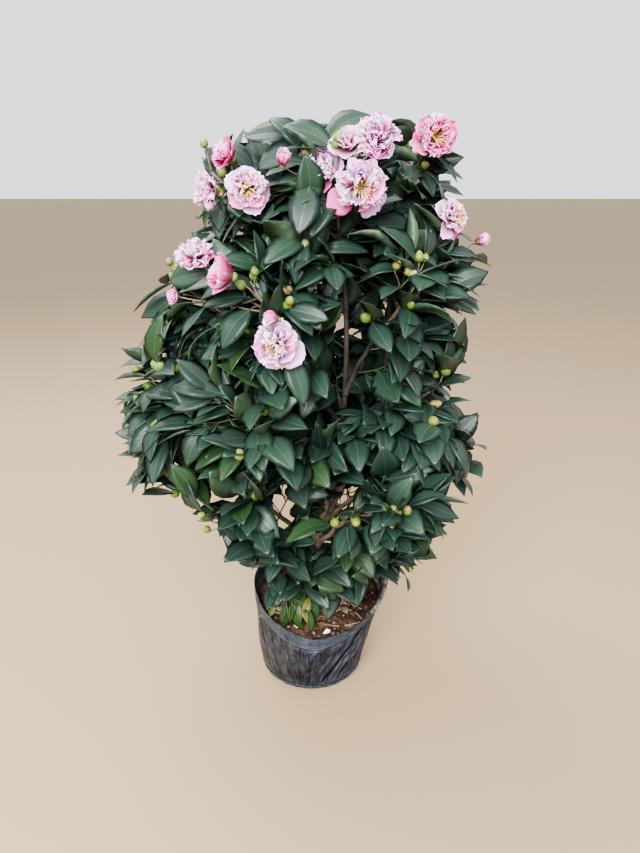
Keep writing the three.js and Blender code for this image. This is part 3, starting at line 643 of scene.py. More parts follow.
def outer_petals(flower, rng):
    """The rings of broad petals: each petal opens by an angle from the facing."""
    facing, size, kind = flower["facing"], flower["size"], FLOWER_KINDS[flower["kind"]]
    side, down = flower_frame(flower)
    grids, tints = [], []
    for ring, (count, length, width, opening, curl, ruffle, arc) in enumerate(kind["rings"]):
        turn = (np.arange(count) + 0.5 + rng.uniform(-0.25, 0.25, count)) / count
        turn = np.radians(arc[0] + (arc[1] - arc[0]) * turn)
        angle = np.radians(opening + rng.uniform(-12, 12, count))
        way = swung(turn, side, down)
        ahead, inward = swung(angle, facing, way), swung(angle, -way, facing)
        foot = flower["spot"] + facing * size * (0.035 * ring - 0.14) + way * size * 0.03
        grids.append(petals(
            OUTER_GRID, foot, ahead, inward, size * length * rng.uniform(0.86, 1.12, count),
            size * width * rng.uniform(0.88, 1.12, count), curl + rng.uniform(-0.10, 0.10, count),
            rng.uniform(0.08, 0.26, count), ruffle * rng.uniform(0.7, 1.5, count),
            rng.uniform(0.0, 0.16, count), rng.uniform(0, FULL_TURN, count)))
        tints.append(rng.choice(5, count, p=kind.get("tints", {}).get(ring, kind["outer"])))
    return np.concatenate(grids), np.concatenate(tints)


def crowded_petals(flower, rng):
    """The crowd of small petals: their tips fill a dome at the golden angle, and each is rolled round
    its own line, so that their frilled rims cross."""
    facing, size, kind = flower["facing"], flower["size"], FLOWER_KINDS[flower["kind"]]
    count, reach, widest, width, ruffle, raised = kind["crowd"]
    side, down = flower_frame(flower)
    rank = np.arange(count) + 0.5
    angle = np.radians(widest) * np.sqrt(rank / count) + rng.uniform(-0.06, 0.06, count)
    turn = GOLDEN * rank + rng.uniform(-0.2, 0.2, count)
    way = swung(turn, side, down)
    ahead = swung(angle, facing, way)
    if kind["stamens"] > FEW_STAMENS:
        stays = np.arccos(np.clip(ahead @ parting_way(flower), -1, 1)) > PARTED[1]
        way, ahead, angle, count = way[stays], ahead[stays], angle[stays], int(stays.sum())
    inward = swung(angle, -way, facing)
    inward = swung(rng.normal(0, 0.70, count), inward, np.cross(ahead, inward))
    foot = flower["spot"] + way * size * 0.10 * np.sin(angle)[:, None] - facing * size * 0.10
    foot = foot - down * size * raised
    grid = petals(
        CROWD_GRID, foot, ahead, inward, size * (reach + 0.06) * rng.uniform(0.84, 1.12, count),
        size * width * rng.uniform(0.7, 1.3, count), rng.uniform(-0.22, 0.30, count),
        rng.uniform(0.1, 0.5, count), ruffle * rng.uniform(0.6, 1.4, count),
        rng.uniform(0.05, 0.34, count), rng.uniform(0, FULL_TURN, count))
    return grid, rng.choice(5, count, p=kind["inner"])


def sheet_faces(rows, columns):
    """The quads of a grid of corners, with the third direction as their outer side."""
    r, c = np.meshgrid(np.arange(rows - 1), np.arange(columns - 1), indexing="ij")
    low = (r * columns + c).ravel()
    return np.stack([low, low + columns, low + columns + 1, low + 1], axis=-1)


def map_place(material):
    """Where a point lies on the piece's own map: the place itself, and its shares across and along."""
    place = wire(material, "UVMap", uv_map="UVMap").outputs["UV"]
    parts = wire(material, "SeparateXYZ", {"Vector": place}).outputs
    return place, parts["X"], parts["Y"]


def petal_material(name, tip, middle, foot):
    """A petal's colour runs from its foot to its rim, with fine veins fanning along it. Its dark foot is
    partly the petal's deeper pink and partly painted shade deep in the flower. The petal is thin
    enough for some light to pass from one side to the other."""
    material = new_material(name, middle, 0.60, Subsurface_Weight=0.08, Subsurface_Scale=0.004,
                            Subsurface_Radius=(1.0, 0.45, 0.55), Specular_IOR_Level=0.25)
    place, _, along = map_place(material)
    veins = noise(material, place, 7, 3, 0.6, (6, 0.7, 1))
    # The foot colour is partly a deeper pink and partly painted shade.
    shade = ramp(material, along, [(0.42, foot), (0.82, middle), (1.0, tip)])
    streak = ramp(material, veins, [(0.35, (0.97, 0.86, 0.93)), (0.6, 1)])
    join_to(material, mixed(material, 0.5, shade, streak, "MULTIPLY"), "Base Color")
    bump(material, veins, 0.15, 0.0005)
    return material


def thicken(piece, thickness):
    """Gives a sheet its thickness, on the side away from its faces."""
    wall = piece.modifiers.new("Thickness", "SOLIDIFY")
    wall.thickness = thickness
    wall.offset = -1


# Each tint gives rim, middle and foot; the dark foot is partly a deeper pink and partly painted shade deep
# in the flower.
petal_materials = [
    petal_material("petal_pale", (0.95, 0.66, 0.93), (0.64, 0.37, 0.56), (0.18, 0.08, 0.10)),
    petal_material("petal_pink", (0.92, 0.31, 0.72), (0.76, 0.16, 0.44), (0.26, 0.04, 0.09)),
    petal_material("petal_rose", (0.72, 0.09, 0.32), (0.50, 0.04, 0.16), (0.20, 0.010, 0.05)),
    petal_material("petal_lilac", (0.90, 0.57, 0.98), (0.66, 0.37, 0.70), (0.22, 0.09, 0.16)),
    petal_material("petal_white", (0.98, 0.85, 0.96), (0.68, 0.53, 0.64), (0.20, 0.12, 0.13))]
for name, grow, shape, thick in (("outer_petals", outer_petals, OUTER_GRID, 0.0004),
                                 ("crowded_petals", crowded_petals, CROWD_GRID, 0.0003)):
    grown = [grow(flower, np.random.default_rng(500 + i)) for i, flower in enumerate(flowers)]
    grids = np.concatenate([part[0] for part in grown])
    tints = np.concatenate([part[1] for part in grown])
    v, u = petal_grid(shape)
    uv = np.tile(np.stack([0.5 + 0.5 * u, v], axis=-1).reshape(-1, 2), (len(grids), 1))
    template = sheet_faces(*shape)
    piece = add_piece(name, grids.reshape(-1, 3), repeated([template], *grids.shape[:2]),
                      petal_materials, np.repeat(tints, len(template)), uv)
    thicken(piece, thick)

# Stamens: a tuft of fine cream filaments where the crowd of petals parts, each with a yellow anther
# at its tip.
filament_cream = new_material("filament_cream", (0.86, 0.70, 0.34), 0.6)
anther_yellow = new_material("anther_yellow", (0.85, 0.42, 0.04), 0.75)
paths = []
for i, flower in enumerate(flowers):
    rng = np.random.default_rng(700 + i)
    number = FLOWER_KINDS[flower["kind"]]["stamens"]
    side, size = flower_frame(flower)[0], flower["size"]
    parting = parting_way(flower)
    turn = rng.uniform(0, 2 * np.pi, number)
    lean = 0.85 * PARTED[1] * np.sqrt(rng.uniform(size=number))
    way = swung(turn, side, np.cross(parting, side))
    ahead = swung(lean, parting, way)
    foot = behind(flower, 0.08) + way * size * 0.03
    length = size * rng.uniform(0.26, 0.36, number)
    share = np.linspace(0, 1, 4)[None, :, None]
    bow = 0.12 * length[:, None, None] * share ** 2 * way[:, None]
    paths.append(foot[:, None] + length[:, None, None] * share * ahead[:, None] + bow)
paths = np.concatenate(paths)
tips = paths[:, -1]
piece = add_piece("stamen_filaments", *tubes(paths, np.full(paths.shape[:2], 0.00045), 3),
                  [filament_cream])
ahead = unit(paths[:, -1] - paths[:, -2])
anthers = np.stack([tips - 0.0014 * ahead, tips, tips + 0.0016 * ahead], axis=1)
girth = np.array([0.0005, 0.0013, 0.0005])[None].repeat(len(tips), 0)
piece = add_piece("stamen_anthers", *tubes(anthers, girth, 5), [anther_yellow])

# Twigs: thin brown shoots that leave each mass's stem all round, and finer green-brown ones on them.
# The thicker stem of each mass grows on from the tip of its bough.
TWIG_BROWN = (0.090, 0.062, 0.038)
TWIG_GREEN = (0.070, 0.084, 0.030)
SHOOT_TWIGS = (0.22, 0.42, 0.60, 0.78)  # where the finer twigs leave a shoot
STEM_TWIGS = (0.12, 0.30, 0.48, 0.66, 0.85)  # where they leave a mass's stem
BOUGH_TWIGS = (0.30, 0.42, 0.54, 0.66, 0.78, 0.90)  # where they leave a bough
UPRIGHT_TWIGS = (0.36, 0.94, 0.028)  # first and last height on the uprights, and the step
STEM_END = (0.018, 0.042)  # how far above and beyond its mass's centre a stem ends
SHOOT_OPENING = (78, 46, 14)  # degrees off the stem at its foot, how much less at its tip, spread
SHOOT_LENGTHS = (0.045, 0.138, 0.006)  # the shortest, the longest, and the step it grows by
SHOOT_ROOM = (0.022, 0.044)  # how far its tip keeps inside its mass's space and inside the outline
FLOWER_TWIG_AT = 0.72  # where a flower's own twig leaves the stem
TWIG_RISE = 0.12  # how much of its length a twig bends up by
TOP_DISC = (0.035, 0.012, 0.130)  # centre and radius of the disc that the topmost twigs fill
TOP_HEIGHTS = (0.970, 1.050)
LEAF_REACH = np.array([  # height, how far the furthest leaf tips reach to the left and to the right
    [0.190, 0.150, 0.172], [0.270, 0.200, 0.262], [0.405, 0.222, 0.308], [0.432, 0.335, 0.335],
    [0.470, 0.405, 0.355], [0.573, 0.398, 0.352], [0.650, 0.388, 0.322], [0.724, 0.374, 0.306],
    [0.815, 0.336, 0.306], [0.895, 0.270, 0.360], [0.949, 0.222, 0.300], [1.060, 0.200, 0.270],
    [1.110, 0.182, 0.268], [1.150, 0.150, 0.240]])
CROWN_CORE = np.array([0.03, 0.0, 0.0])  # where the crown's middle line stands
EYE = np.array([0.0195, -1.2087, 1.04])  # where the person in front has their eye
# Where the crown stands open to someone in front: the place where the line of sight crosses the
# crown's middle, its half sizes, how deep it is open, and the share of leaves that stay.
OPENINGS = [
    ((0.100, 0.745), (0.064, 0.135), -0.005, 0.12),
    ((-0.060, 0.392), (0.036, 0.062), 1.0, 0.0),
    ((0.080, 0.412), (0.028, 0.046), 1.0, 0.0),
    ((-0.375, 0.295), (0.165, 0.125), 1.0, 0.0),
    ((-0.178, 0.212), (0.058, 0.052), 1.0, 0.0),
    ((0.400, 0.250), (0.110, 0.140), 1.0, 0.0),
    ((-0.014, 0.102), (0.056, 0.048), 1.0, 0.0),
    ((0.161, 0.184), (0.024, 0.044), 1.0, 0.0),
    ((0.022, 0.338), (0.042, 0.076), -0.008, 0.08),
    ((-0.185, 0.425), (0.050, 0.022), 1.0, 0.0)]


def in_opening(points, place, halves, deepest):
    """Whether points lie on the lines of sight that pass through an ellipse in the plane y = 0."""
    seen = EYE + (points - EYE) * (-EYE[1] / (points[..., 1:2] - EYE[1]))
    off = ((seen[..., 0] - place[0]) / halves[0]) ** 2 + ((seen[..., 2] - place[1]) / halves[1]) ** 2
    return (off < 1) & (points[..., 1] < deepest)


def in_cell(mass, points, inset):
    """Whether points lie on a mass's side of the planes half way to every other mass."""
    inside = np.ones(points.shape[:-1], bool)
    for other in masses:
        if other is not mass:
            middle = (other["centre"] + mass["centre"]) / 2
            inside &= (points - middle) @ unit(other["centre"] - mass["centre"]) <= -inset
    return inside


def shoots_of(mass, index):
    """A mass's stem and shoots: the shoots leave the stem all round, more and more forward, and grow
    while there is room ahead in the mass's space."""
    following = stream(100 + index)
    end = mass["centre"].copy()
    if mass["name"] != "basal":
        end = end + UP * STEM_END[0] + level(mass["centre"]) * STEM_END[1]
    knee = mass["root"] + mass["heading"] * np.linalg.norm(end - mass["root"]) * 0.45
    stem = (mass["root"], knee, end)
    count = 3 if mass["name"] == "basal" else 4
    shoots = []
    for k in range(count):
        share = k / (count - 1)
        along = 0.2 + 0.8 * share
        start, ahead = bezier(*stem, along), bezier_heading(*stem, along)
        side = unit(np.cross(ahead, UP))
        over = unit(np.cross(side, ahead))
        turn = k * GOLDEN + 2 * math.pi * following()
        widest, less, spread = SHOOT_OPENING
        opening = math.radians(widest - less * share + spread * following())
        heading = (side * math.cos(turn) + over * math.sin(turn)) * math.sin(opening)
        heading = unit(heading + ahead * math.cos(opening) + 0.16 * UP)
        length, longest, step = SHOOT_LENGTHS
        wanted = longest * (0.8 + 0.2 * following())
        while length < wanted:
            tip = start + heading * (length + 0.008)
            if not in_cell(mass, tip, SHOOT_ROOM[0]) or not within(OUTLINE, tip, SHOOT_ROOM[1], 0.6):
                break
            length += step
        knee = start + heading * length * 0.5
        shoots.append((start, knee, start + heading * length + UP * 0.1 * length))
    return stem, shoots


def curves(limbs, rows):
    """The curves of many limbs, each given by its start, knee and end, as rows of points."""
    return bezier(limbs[:, None, 0], limbs[:, None, 1], limbs[:, None, 2], np.linspace(0, 1, rows)[None])


stems, shoots, shoot_mass, holds_flower = [], [], [], []
for index, mass in enumerate(masses):
    stem, grown = shoots_of(mass, index)
    stems.append(stem)
    borne = [flower for flower in flowers if flower["mass"] is mass]
    holds_flower += [False] * len(grown) + [True] * len(borne)
    for flower in borne:
        start, tip = bezier(*stem, FLOWER_TWIG_AT), behind(flower, 0.16)
        grown.append((start, start + 0.6 * (tip - flower["facing"] * 0.02 - start), tip))
    shoots += grown
    shoot_mass += [index] * len(grown)
stems, shoots, shoot_mass = np.array(stems), np.array(shoots), np.array(shoot_mass)
holds_flower = np.array(holds_flower)


def outward(points):
    """The direction away from the crown's middle line, level with each point."""
    return level(points - CROWN_CORE)


def side_twigs(parents, at, spin, reach, opening):
    """Finer twigs: each leaves its parent at a share of its length, turned round it by spin, and
    bends outwards and up; it is shortened until its tip lies where the leaves reach."""
    start = bezier(parents[:, 0], parents[:, 1], parents[:, 2], at)
    ahead = bezier_heading(parents[:, 0], parents[:, 1], parents[:, 2], at)
    side = unit(np.cross(ahead, UP))
    over = np.cross(side, ahead)
    way = swung(spin, side, over)
    heading = unit(swung(opening, ahead, way) + 0.35 * outward(start) + 0.1 * UP)
    reach = reach[:, None]
    for _ in range(12):
        tip = start + heading * reach + TWIG_RISE * reach * UP
        reach = np.where(within(LEAF_REACH, tip, 0.040)[:, None], reach, reach * 0.85)
    tip = start + heading * reach + TWIG_RISE * reach * UP
    return np.stack([start, start + heading * reach * 0.5, tip], axis=1)


def twig_course(parents, places, lengths, opening, seed):
    """Side twigs at each of several places along every parent, at the golden angle round it."""
    rng = np.random.default_rng(seed)
    courses = []
    for k, at in enumerate(places):
        number = len(parents)
        spin = (1.5 * k + 0.9 * np.arange(number)) * GOLDEN + rng.uniform(-0.5, 0.5, number)
        reach = lengths * (1.1 - 0.4 * at) * rng.uniform(0.8, 1.15, number)
        angle = np.radians(opening + rng.uniform(-10, 10, number))
        courses.append(side_twigs(parents, np.full(number, at), spin, np.maximum(reach, 0.03), angle))
    return np.concatenate(courses)


def nearest_mass(points):
    """The mass whose centre is nearest to each point."""
    centres = np.array([mass["centre"] for mass in masses])
    return np.linalg.norm(points[:, None] - centres, axis=-1).argmin(axis=1)


boughs = np.array([mass["bough"] for mass in masses if "bough" in mass])
rise_heights = np.arange(*UPRIGHT_TWIGS)[:, None] + np.array([0, 0.005, 0.010])
rises = np.concatenate([each["axis"](rise_heights) for each in uprights])
leafy_shoots = shoots[shoot_mass != BASAL]
leafy_lengths = np.linalg.norm(leafy_shoots[:, 2] - leafy_shoots[:, 0], axis=1)
top_stems = np.array([stem for stem, mass in zip(stems, masses) if mass["tier"] == "top"])


def centre_twigs(count, seed):
    """Upright twigs that close the crown's top: their tips fill a disc at the golden angle, and each
    comes from the nearest point of the stems below it."""
    rng = np.random.default_rng(seed)
    rank = np.arange(count) + 0.5
    turn = GOLDEN * rank
    reach = TOP_DISC[2] * np.sqrt(rank / count)
    ends = np.stack([TOP_DISC[0] + reach * np.cos(turn), TOP_DISC[1] + 0.85 * reach * np.sin(turn),
                     rng.uniform(*TOP_HEIGHTS, count)], axis=-1)
    wood = curves(top_stems, 12).reshape(-1, 3)
    wood = np.concatenate([wood] + [each["axis"](np.linspace(0.88, 0.96, 8)) for each in uprights])
    away = np.linalg.norm((ends[:, None] - wood) * (1, 1, 0.6), axis=-1)
    starts = wood[(away + 10 * (wood[:, 2] > ends[:, None, 2] - 0.05)).argmin(axis=1)]
    knees = 0.5 * (starts + ends) + 0.16 * (starts - ends) * (1, 1, -0.5)
    return np.stack([starts, knees, ends], axis=1)


fine = np.concatenate([
    twig_course(leafy_shoots, SHOOT_TWIGS, 0.66 * leafy_lengths, 52, 301),
    twig_course(stems[:-1], STEM_TWIGS, 0.085, 56, 302),
    twig_course(boughs, BOUGH_TWIGS, 0.095, 60, 303),
    twig_course(rises, (0.0,), 0.090, 66, 304),
    centre_twigs(24, 306)])
rng = np.random.default_rng(305)
for place, halves, deepest, kept_share in OPENINGS:
    bare = in_opening(fine[:, 2], place, halves, deepest) & (rng.uniform(size=len(fine)) > kept_share)
    fine = fine[~bare]
fine_mass = nearest_mass(fine[:, 2])
fine_mass = np.where(fine_mass == BASAL, 0, fine_mass)


def taper(curve_points, first, last):
    """A radius that shrinks evenly along each curve."""
    return np.linspace(1, 0, curve_points.shape[1])[None] * (first - last) + last + 0 * curve_points[..., 0]


twig_bark = new_material("twig_bark", TWIG_BROWN, 0.7)
place = own_place(twig_bark)
shade = noise(twig_bark, place, 60, 4)
join_to(twig_bark, ramp(twig_bark, shade, [(0.35, TWIG_BROWN), (0.62, (0.17, 0.125, 0.085))]), "Base Color")
bump(twig_bark, noise(twig_bark, place, 420, 3), 0.35, 0.0006)
twig_green = new_material("twig_green", TWIG_GREEN, 0.5)
stem_paths = curves(stems, 14)
root_radii = np.array([mass["root_radius"] for mass in masses])[:, None]
stem_radii = root_radii + (0.0022 - root_radii) * np.linspace(0, 1, 14)[None]
piece = add_piece("mass_stems", *tubes(stem_paths, stem_radii, 10), [twig_bark])

# Leaves: leathery, as long as a finger, dark and glossy above with a pale midrib, paler beneath. They
# stand along the outer part of each twig and crowd at its tip, turned to the light, with drooping tips.
LEAF_STATIONS = np.array([-0.085, 0.02, 0.15, 0.33, 0.53, 0.73, 0.89, 1.0])
LEAF_WIDTHS = np.array([0.03, 0.10, 0.62, 0.95, 1.0, 0.76, 0.30, 0.0])
LEAF_THICK = 0.00045
LEAF_SIDES = 7
FINE_FROM = 1000  # sprays are numbered: shoots from 0, finer twigs from here on
SPRAYS = 4000  # more than there are
LEAF_GAP = 0.0150  # the least between two leaves' middles
OVER_RIM = (0.235, 0.10)  # tips lower than this and further out than this would lie over the bag's rim
LOWEST_TIP = 0.200
STEM_CLEAR = 0.022  # how far the leaves' middles keep from the trunk and the leader
CLEARANCES = {  # how far leaves' middles and tips keep from a flower, as shares of its size
    "shaded": (0.45, 0.50), "drooping": (0.92, 0.45), "all others": (0.62, 0.45)}


def leaf_blades(foot, ahead, face, length, width, droop, fold, wave, phase):
    """Leaves, many at once. A ring of seven corners runs along each: two edges, two half-way corners
    and the midrib's two sides on top, and one corner beneath. The blade folds up from the midrib by a
    share of the distance, its line droops by v squared, and its margin waves."""
    v = LEAF_STATIONS[None, :-1, None]
    half = 0.5 * width[:, None, None] * LEAF_WIDTHS[None, :-1, None]
    rib = np.minimum(0.0006 * (1 - 0.6 * v), 0.8 * half)
    share = np.array([-1.0, -0.5, 0.0, 0.0, 0.5, 1.0, 0.0])[None, None]
    ribs = np.array([0.0, 0.0, -1.0, 1.0, 0.0, 0.0, 0.0])[None, None]
    under = np.array([0.0, 0, 0, 0, 0, 0, 1.0])[None, None]
    aside = half * share + rib * ribs
    each = [value[:, None, None] for value in (length, droop, fold, wave, phase)]
    length, droop, fold, wave, phase = each
    v_in = np.clip(v, 0, 1)
    arch = 0.35 * droop * np.sin(np.pi * v_in) - droop * v_in ** 2
    margin = wave * np.sin(7.5 * v + phase + 1.6 * np.sign(share)) * np.abs(share)
    lift = length * arch + fold * np.abs(aside) - 6.0 * fold * aside ** 2 / np.maximum(half, 1e-4) * 0.06
    lift = lift + margin * half - under * (LEAF_THICK + rib)
    out = length * (v - 0.25 * droop * v_in ** 3)
    across = np.cross(ahead, face)[:, None, None]
    grid = (foot[:, None, None] + out[..., None] * ahead[:, None, None] + aside[..., None] * across
            + lift[..., None] * face[:, None, None])
    end = 1 - 0.25 * droop[:, 0, 0]
    tip = foot + (length[:, 0, 0] * end)[:, None] * ahead - (length * droop)[:, 0, 0, None] * face
    corners = np.concatenate([grid.reshape(len(foot), -1, 3), tip[:, None]], axis=1)
    u = np.array([0, 0.25, 0.5, 0.5, 0.75, 1, 0.5])[None].repeat(len(LEAF_STATIONS) - 1, 0)
    uv = np.stack([u, LEAF_STATIONS[:-1, None].repeat(LEAF_SIDES, 1)], axis=-1).reshape(-1, 2)
    return corners, np.concatenate([uv, [[0.5, 1.0]]])


def leaf_faces():
    """The faces of one leaf, and for each the part it belongs to: 0 blade, 1 midrib, 2 underside."""
    rows = len(LEAF_STATIONS) - 1
    quads, _, tips = ring_faces(rows, LEAF_SIDES)
    tips = tips - (0, 0, 1)  # the foot is one face, with no corner in its middle
    part = np.array([0, 0, 1, 0, 0, 2, 2])
    foot = np.arange(LEAF_SIDES)[None, ::-1]
    return quads, tips, foot, np.tile(part, rows - 1), part


def maths(material, operation, *values):
    """One sum worked out by the shader."""
    return wire(material, "Math", dict(enumerate(values)), operation=operation).outputs[0]


def veined(material):
    """A leaf's side veins: fine ridges that leave the midrib and sweep towards the tip, as the sine of
    the share along the leaf less three quarters of the distance from its middle."""
    _, across, along = map_place(material)
    off = maths(material, "ABSOLUTE", maths(material, "SUBTRACT", across, 0.5))
    lean = maths(material, "MULTIPLY_ADD", off, -0.75, along)
    bump(material, maths(material, "SINE", maths(material, "MULTIPLY", lean, 52.0)), 0.09, 0.0006)


LEAF_COLOURS = [  # name, colour, roughness
    ("leaf_deep", (0.016, 0.034, 0.024), 0.40), ("leaf_green", (0.021, 0.045, 0.029), 0.42),
    ("leaf_dusky", (0.023, 0.039, 0.030), 0.45), ("leaf_fresh", (0.020, 0.046, 0.017), 0.42),
    ("leaf_yellow", (0.120, 0.122, 0.026), 0.45), ("leaf_young", (0.018, 0.048, 0.009), 0.48)]
TONE_STEPS = (0.42, 0.80, 1.0, 1.235)  # where a spray's random tone passes on to the next colour
leaf_materials = []
for name, colour, roughness in LEAF_COLOURS:
    material = new_material(name, colour, roughness, Specular_IOR_Level=0.28, Coat_Weight=0.03,
                            Coat_Roughness=0.25)
    veined(material)
    leaf_materials.append(material)
leaf_materials.append(new_material("leaf_midrib", (0.050, 0.090, 0.048), 0.35, Coat_Weight=0.3))
leaf_materials.append(new_material("leaf_underside", (0.040, 0.074, 0.042), 0.5))
YELLOW, YOUNG, MIDRIB, UNDERSIDE = 4, 5, 6, 7


def square_to(lines, vectors):
    """The direction of the part of each vector that stands square to a line."""
    return unit(vectors - lines * np.einsum("ni,ni->n", vectors, lines)[:, None])


def leaf_sites(twigs, owners, first, spacing, seed):
    """Places for leaves along twigs: a share of each twig's length, closer together towards its tip,
    turned round it leaf by leaf at the golden angle."""
    rng = np.random.default_rng(seed)
    lengths = np.linalg.norm(twigs[:, 2] - twigs[:, 0], axis=1)
    numbers = np.maximum(((1 - first) * lengths / spacing).astype(int), 1) + 2
    twig = np.repeat(np.arange(len(twigs)), numbers)
    rank = np.arange(len(twig)) - np.repeat(np.cumsum(numbers) - numbers, numbers)
    share = first + (1 - first) * (rank / (numbers[twig] - 1)) ** 0.8
    turn = rank * GOLDEN + FULL_TURN * np.repeat(rng.uniform(size=len(twigs)), numbers)
    turn = turn + rng.uniform(-0.35, 0.35, len(twig))
    start, knee, end = twigs[twig, 0], twigs[twig, 1], twigs[twig, 2]
    return {
        "foot": bezier(start, knee, end, share), "ahead": bezier_heading(start, knee, end, share),
        "turn": turn, "near_tip": share, "owner": owners[twig], "spray": twig}


def grow_leaves(sites, sizes, seed):
    """Turns places into leaves: a leaf's line spreads from its twig and leans outwards, its face turns
    up and outwards, and its tip droops."""
    rng = np.random.default_rng(seed)
    count = len(sites["foot"])
    ahead = sites["ahead"]
    side = unit(np.cross(ahead, UP))
    over = np.cross(side, ahead)
    way = swung(sites["turn"], side, over)
    out = outward(sites["foot"])
    spread = (1.25 - 0.55 * sites["near_tip"])[:, None]
    line = unit(ahead + spread * way) + 0.40 * out - 0.24 * UP + 0.1 * rng.normal(size=(count, 3))
    line = unit(line)
    face = 0.95 * UP + 0.52 * out + 0.16 * way + 0.38 * rng.normal(size=(count, 3))
    length = rng.uniform(*sizes, count)
    return {
        "foot": sites["foot"] - LEAF_STATIONS[0] * length[:, None] * line, "ahead": line,
        "face": square_to(line, face), "length": length, "width": length * rng.uniform(0.47, 0.59, count),
        "droop": rng.uniform(0.06, 0.30, count), "fold": rng.uniform(0.10, 0.34, count),
        "wave": rng.uniform(0.02, 0.09, count), "phase": rng.uniform(0, FULL_TURN, count),
        "owner": sites["owner"], "spray": sites["spray"], "near_tip": sites["near_tip"]}


def chosen(leaves, keep):
    """The leaves that a mask keeps."""
    return {key: value[keep] for key, value in leaves.items()}


def leaf_point(leaves, share):
    """The point at a share of each leaf's length, on its straight line."""
    return leaves["foot"] + share * leaves["length"][:, None] * leaves["ahead"]


def spaced(leaves, apart, seed):
    """Drops a leaf whose middle lies too near that of one kept before it."""
    middle = leaf_point(leaves, 0.5)
    order = np.random.default_rng(seed).permutation(len(middle))
    keep = np.zeros(len(middle), bool)
    for i in order:
        gaps = np.linalg.norm(middle[keep] - middle[i], axis=1)
        keep[i] = not len(gaps) or gaps.min() > apart
    return chosen(leaves, keep)


def joined_leaves(name, corners, materials, looks, foot_part, uv=None):
    """One piece of many leaves, where looks gives each leaf's materials for its blade, its midrib and
    its underside, and foot_part says which of them its foot has."""
    quads, tips, foot, quad_part, tip_part = leaf_faces()
    places = [looks[:, part].ravel() for part in (quad_part, tip_part, [foot_part])]
    return add_piece(name, corners.reshape(-1, 3), repeated((quads, tips, foot), *corners.shape[:2]),
                     materials, np.concatenate(places), uv)


def leaf_piece(name, leaves, tones):
    """Joins leaves of the crown into one piece, each with its own tone."""
    keys = ("foot", "ahead", "face", "length", "width", "droop", "fold", "wave", "phase")
    corners, uv = leaf_blades(*[leaves[key] for key in keys])
    looks = np.stack([tones, np.full(len(tones), MIDRIB), np.full(len(tones), UNDERSIDE)], axis=-1)
    piece = joined_leaves(name, corners, leaf_materials, looks, 1, np.tile(uv, (len(corners), 1)))
    return piece


main_sites = leaf_sites(shoots, shoot_mass, 0.3, 0.014, 81)
fine_sites = leaf_sites(fine, fine_mass, 0.25, 0.011, 82)
sites = {key: np.concatenate([main_sites[key], fine_sites[key] + (FINE_FROM if key == "spray" else 0)])
         for key in main_sites}
leaves = grow_leaves(sites, (0.068, 0.101), 83)
tips, middles = leaf_point(leaves, 1), leaf_point(leaves, 0.5)
keep = within(LEAF_REACH, tips, 0) & within(LEAF_REACH, middles, 0.012) & (leaves["owner"] != BASAL)
for each in uprights:
    keep &= np.linalg.norm((middles - each["axis"](middles[:, 2]))[:, :2], axis=1) > STEM_CLEAR
over_rim = (tips[:, 2] < OVER_RIM[0]) & (np.hypot(tips[:, 0], tips[:, 1]) > OVER_RIM[1])
keep &= ~over_rim & (tips[:, 2] > LOWEST_TIP)
for flower in flowers:
    shaded = flower["kind"] == "shaded"
    for_middles, for_tips = CLEARANCES.get(flower["kind"], CLEARANCES["all others"])
    from_spot = middles - flower["spot"]
    keep &= np.linalg.norm(from_spot, axis=1) > for_middles * flower["size"]
    keep &= np.linalg.norm(tips - flower["spot"], axis=1) > for_tips * flower["size"]
    beside = np.linalg.norm(np.cross(from_spot, flower["facing"]), axis=1)
    keep &= shaded | (from_spot @ flower["facing"] < 0) | (beside > 0.6 * flower["size"])
rng = np.random.default_rng(91)
for place, halves, deepest, kept_share in OPENINGS:
    inside = in_opening(middles, place, halves, deepest) | in_opening(tips, place, halves, deepest)
    keep &= ~inside | (rng.uniform(size=len(keep)) < kept_share)
leaves = spaced(chosen(leaves, keep), LEAF_GAP, 92)
last_leaf, last_of_shoot = np.zeros(len(fine)), np.full(len(shoots), SHOOT_TWIGS[-1])
on_fine = leaves["spray"] >= FINE_FROM
np.maximum.at(last_leaf, leaves["spray"][on_fine] - FINE_FROM, leaves["near_tip"][on_fine])
np.maximum.at(last_of_shoot, leaves["spray"][~on_fine], leaves["near_tip"][~on_fine])
last_of_shoot[holds_flower | (shoot_mass == BASAL)] = 1
spray_tone = np.random.default_rng(93).uniform(size=SPRAYS)[leaves["spray"]]
own = np.random.default_rng(94).uniform(-0.25, 0.25, len(spray_tone))
tones = np.digitize(spray_tone + own, TONE_STEPS)
for tier, *_ in TIERS:
    owners = [i for i, mass in enumerate(masses) if mass["tier"] == tier]
    in_tier = np.isin(leaves["owner"], owners)
    piece = leaf_piece("leaves_" + tier, chosen(leaves, in_tier), tones[in_tier])
    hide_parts(*["foliage_" + masses[i]["name"] for i in owners])

# Shoots and fine twigs: the shoots are brown and as thick as a match, and the finer twigs on them are
# green-brown. Each ends a little beyond its last leaf.


def trimmed(twigs, last):
    """Twigs that end a little beyond a share of their length."""
    ends_at = np.minimum(last + 0.04, 1)
    start, knee, end = twigs[:, 0], twigs[:, 1], twigs[:, 2]
    knee_at = start + ends_at[:, None] * (knee - start)
    return np.stack([start, knee_at, bezier(start, knee, end, ends_at)], axis=1)


shoots = trimmed(shoots, last_of_shoot)
shoot_paths = curves(shoots, 9)
shoot_paths += 0.0016 * wander(shoot_paths, (0.02, 0.05), 60)
piece = add_piece("shoots", *tubes(shoot_paths, taper(shoot_paths, 0.0021, 0.0010), 7), [twig_bark])
fine = trimmed(fine[last_leaf > 0], last_leaf[last_leaf > 0])
fine_paths = curves(fine, 7)
fine_paths += 0.0012 * wander(fine_paths, (0.02, 0.05), 70)
piece = add_piece("fine_twigs", *tubes(fine_paths, taper(fine_paths, 0.0015, 0.0010), 5), [twig_green])

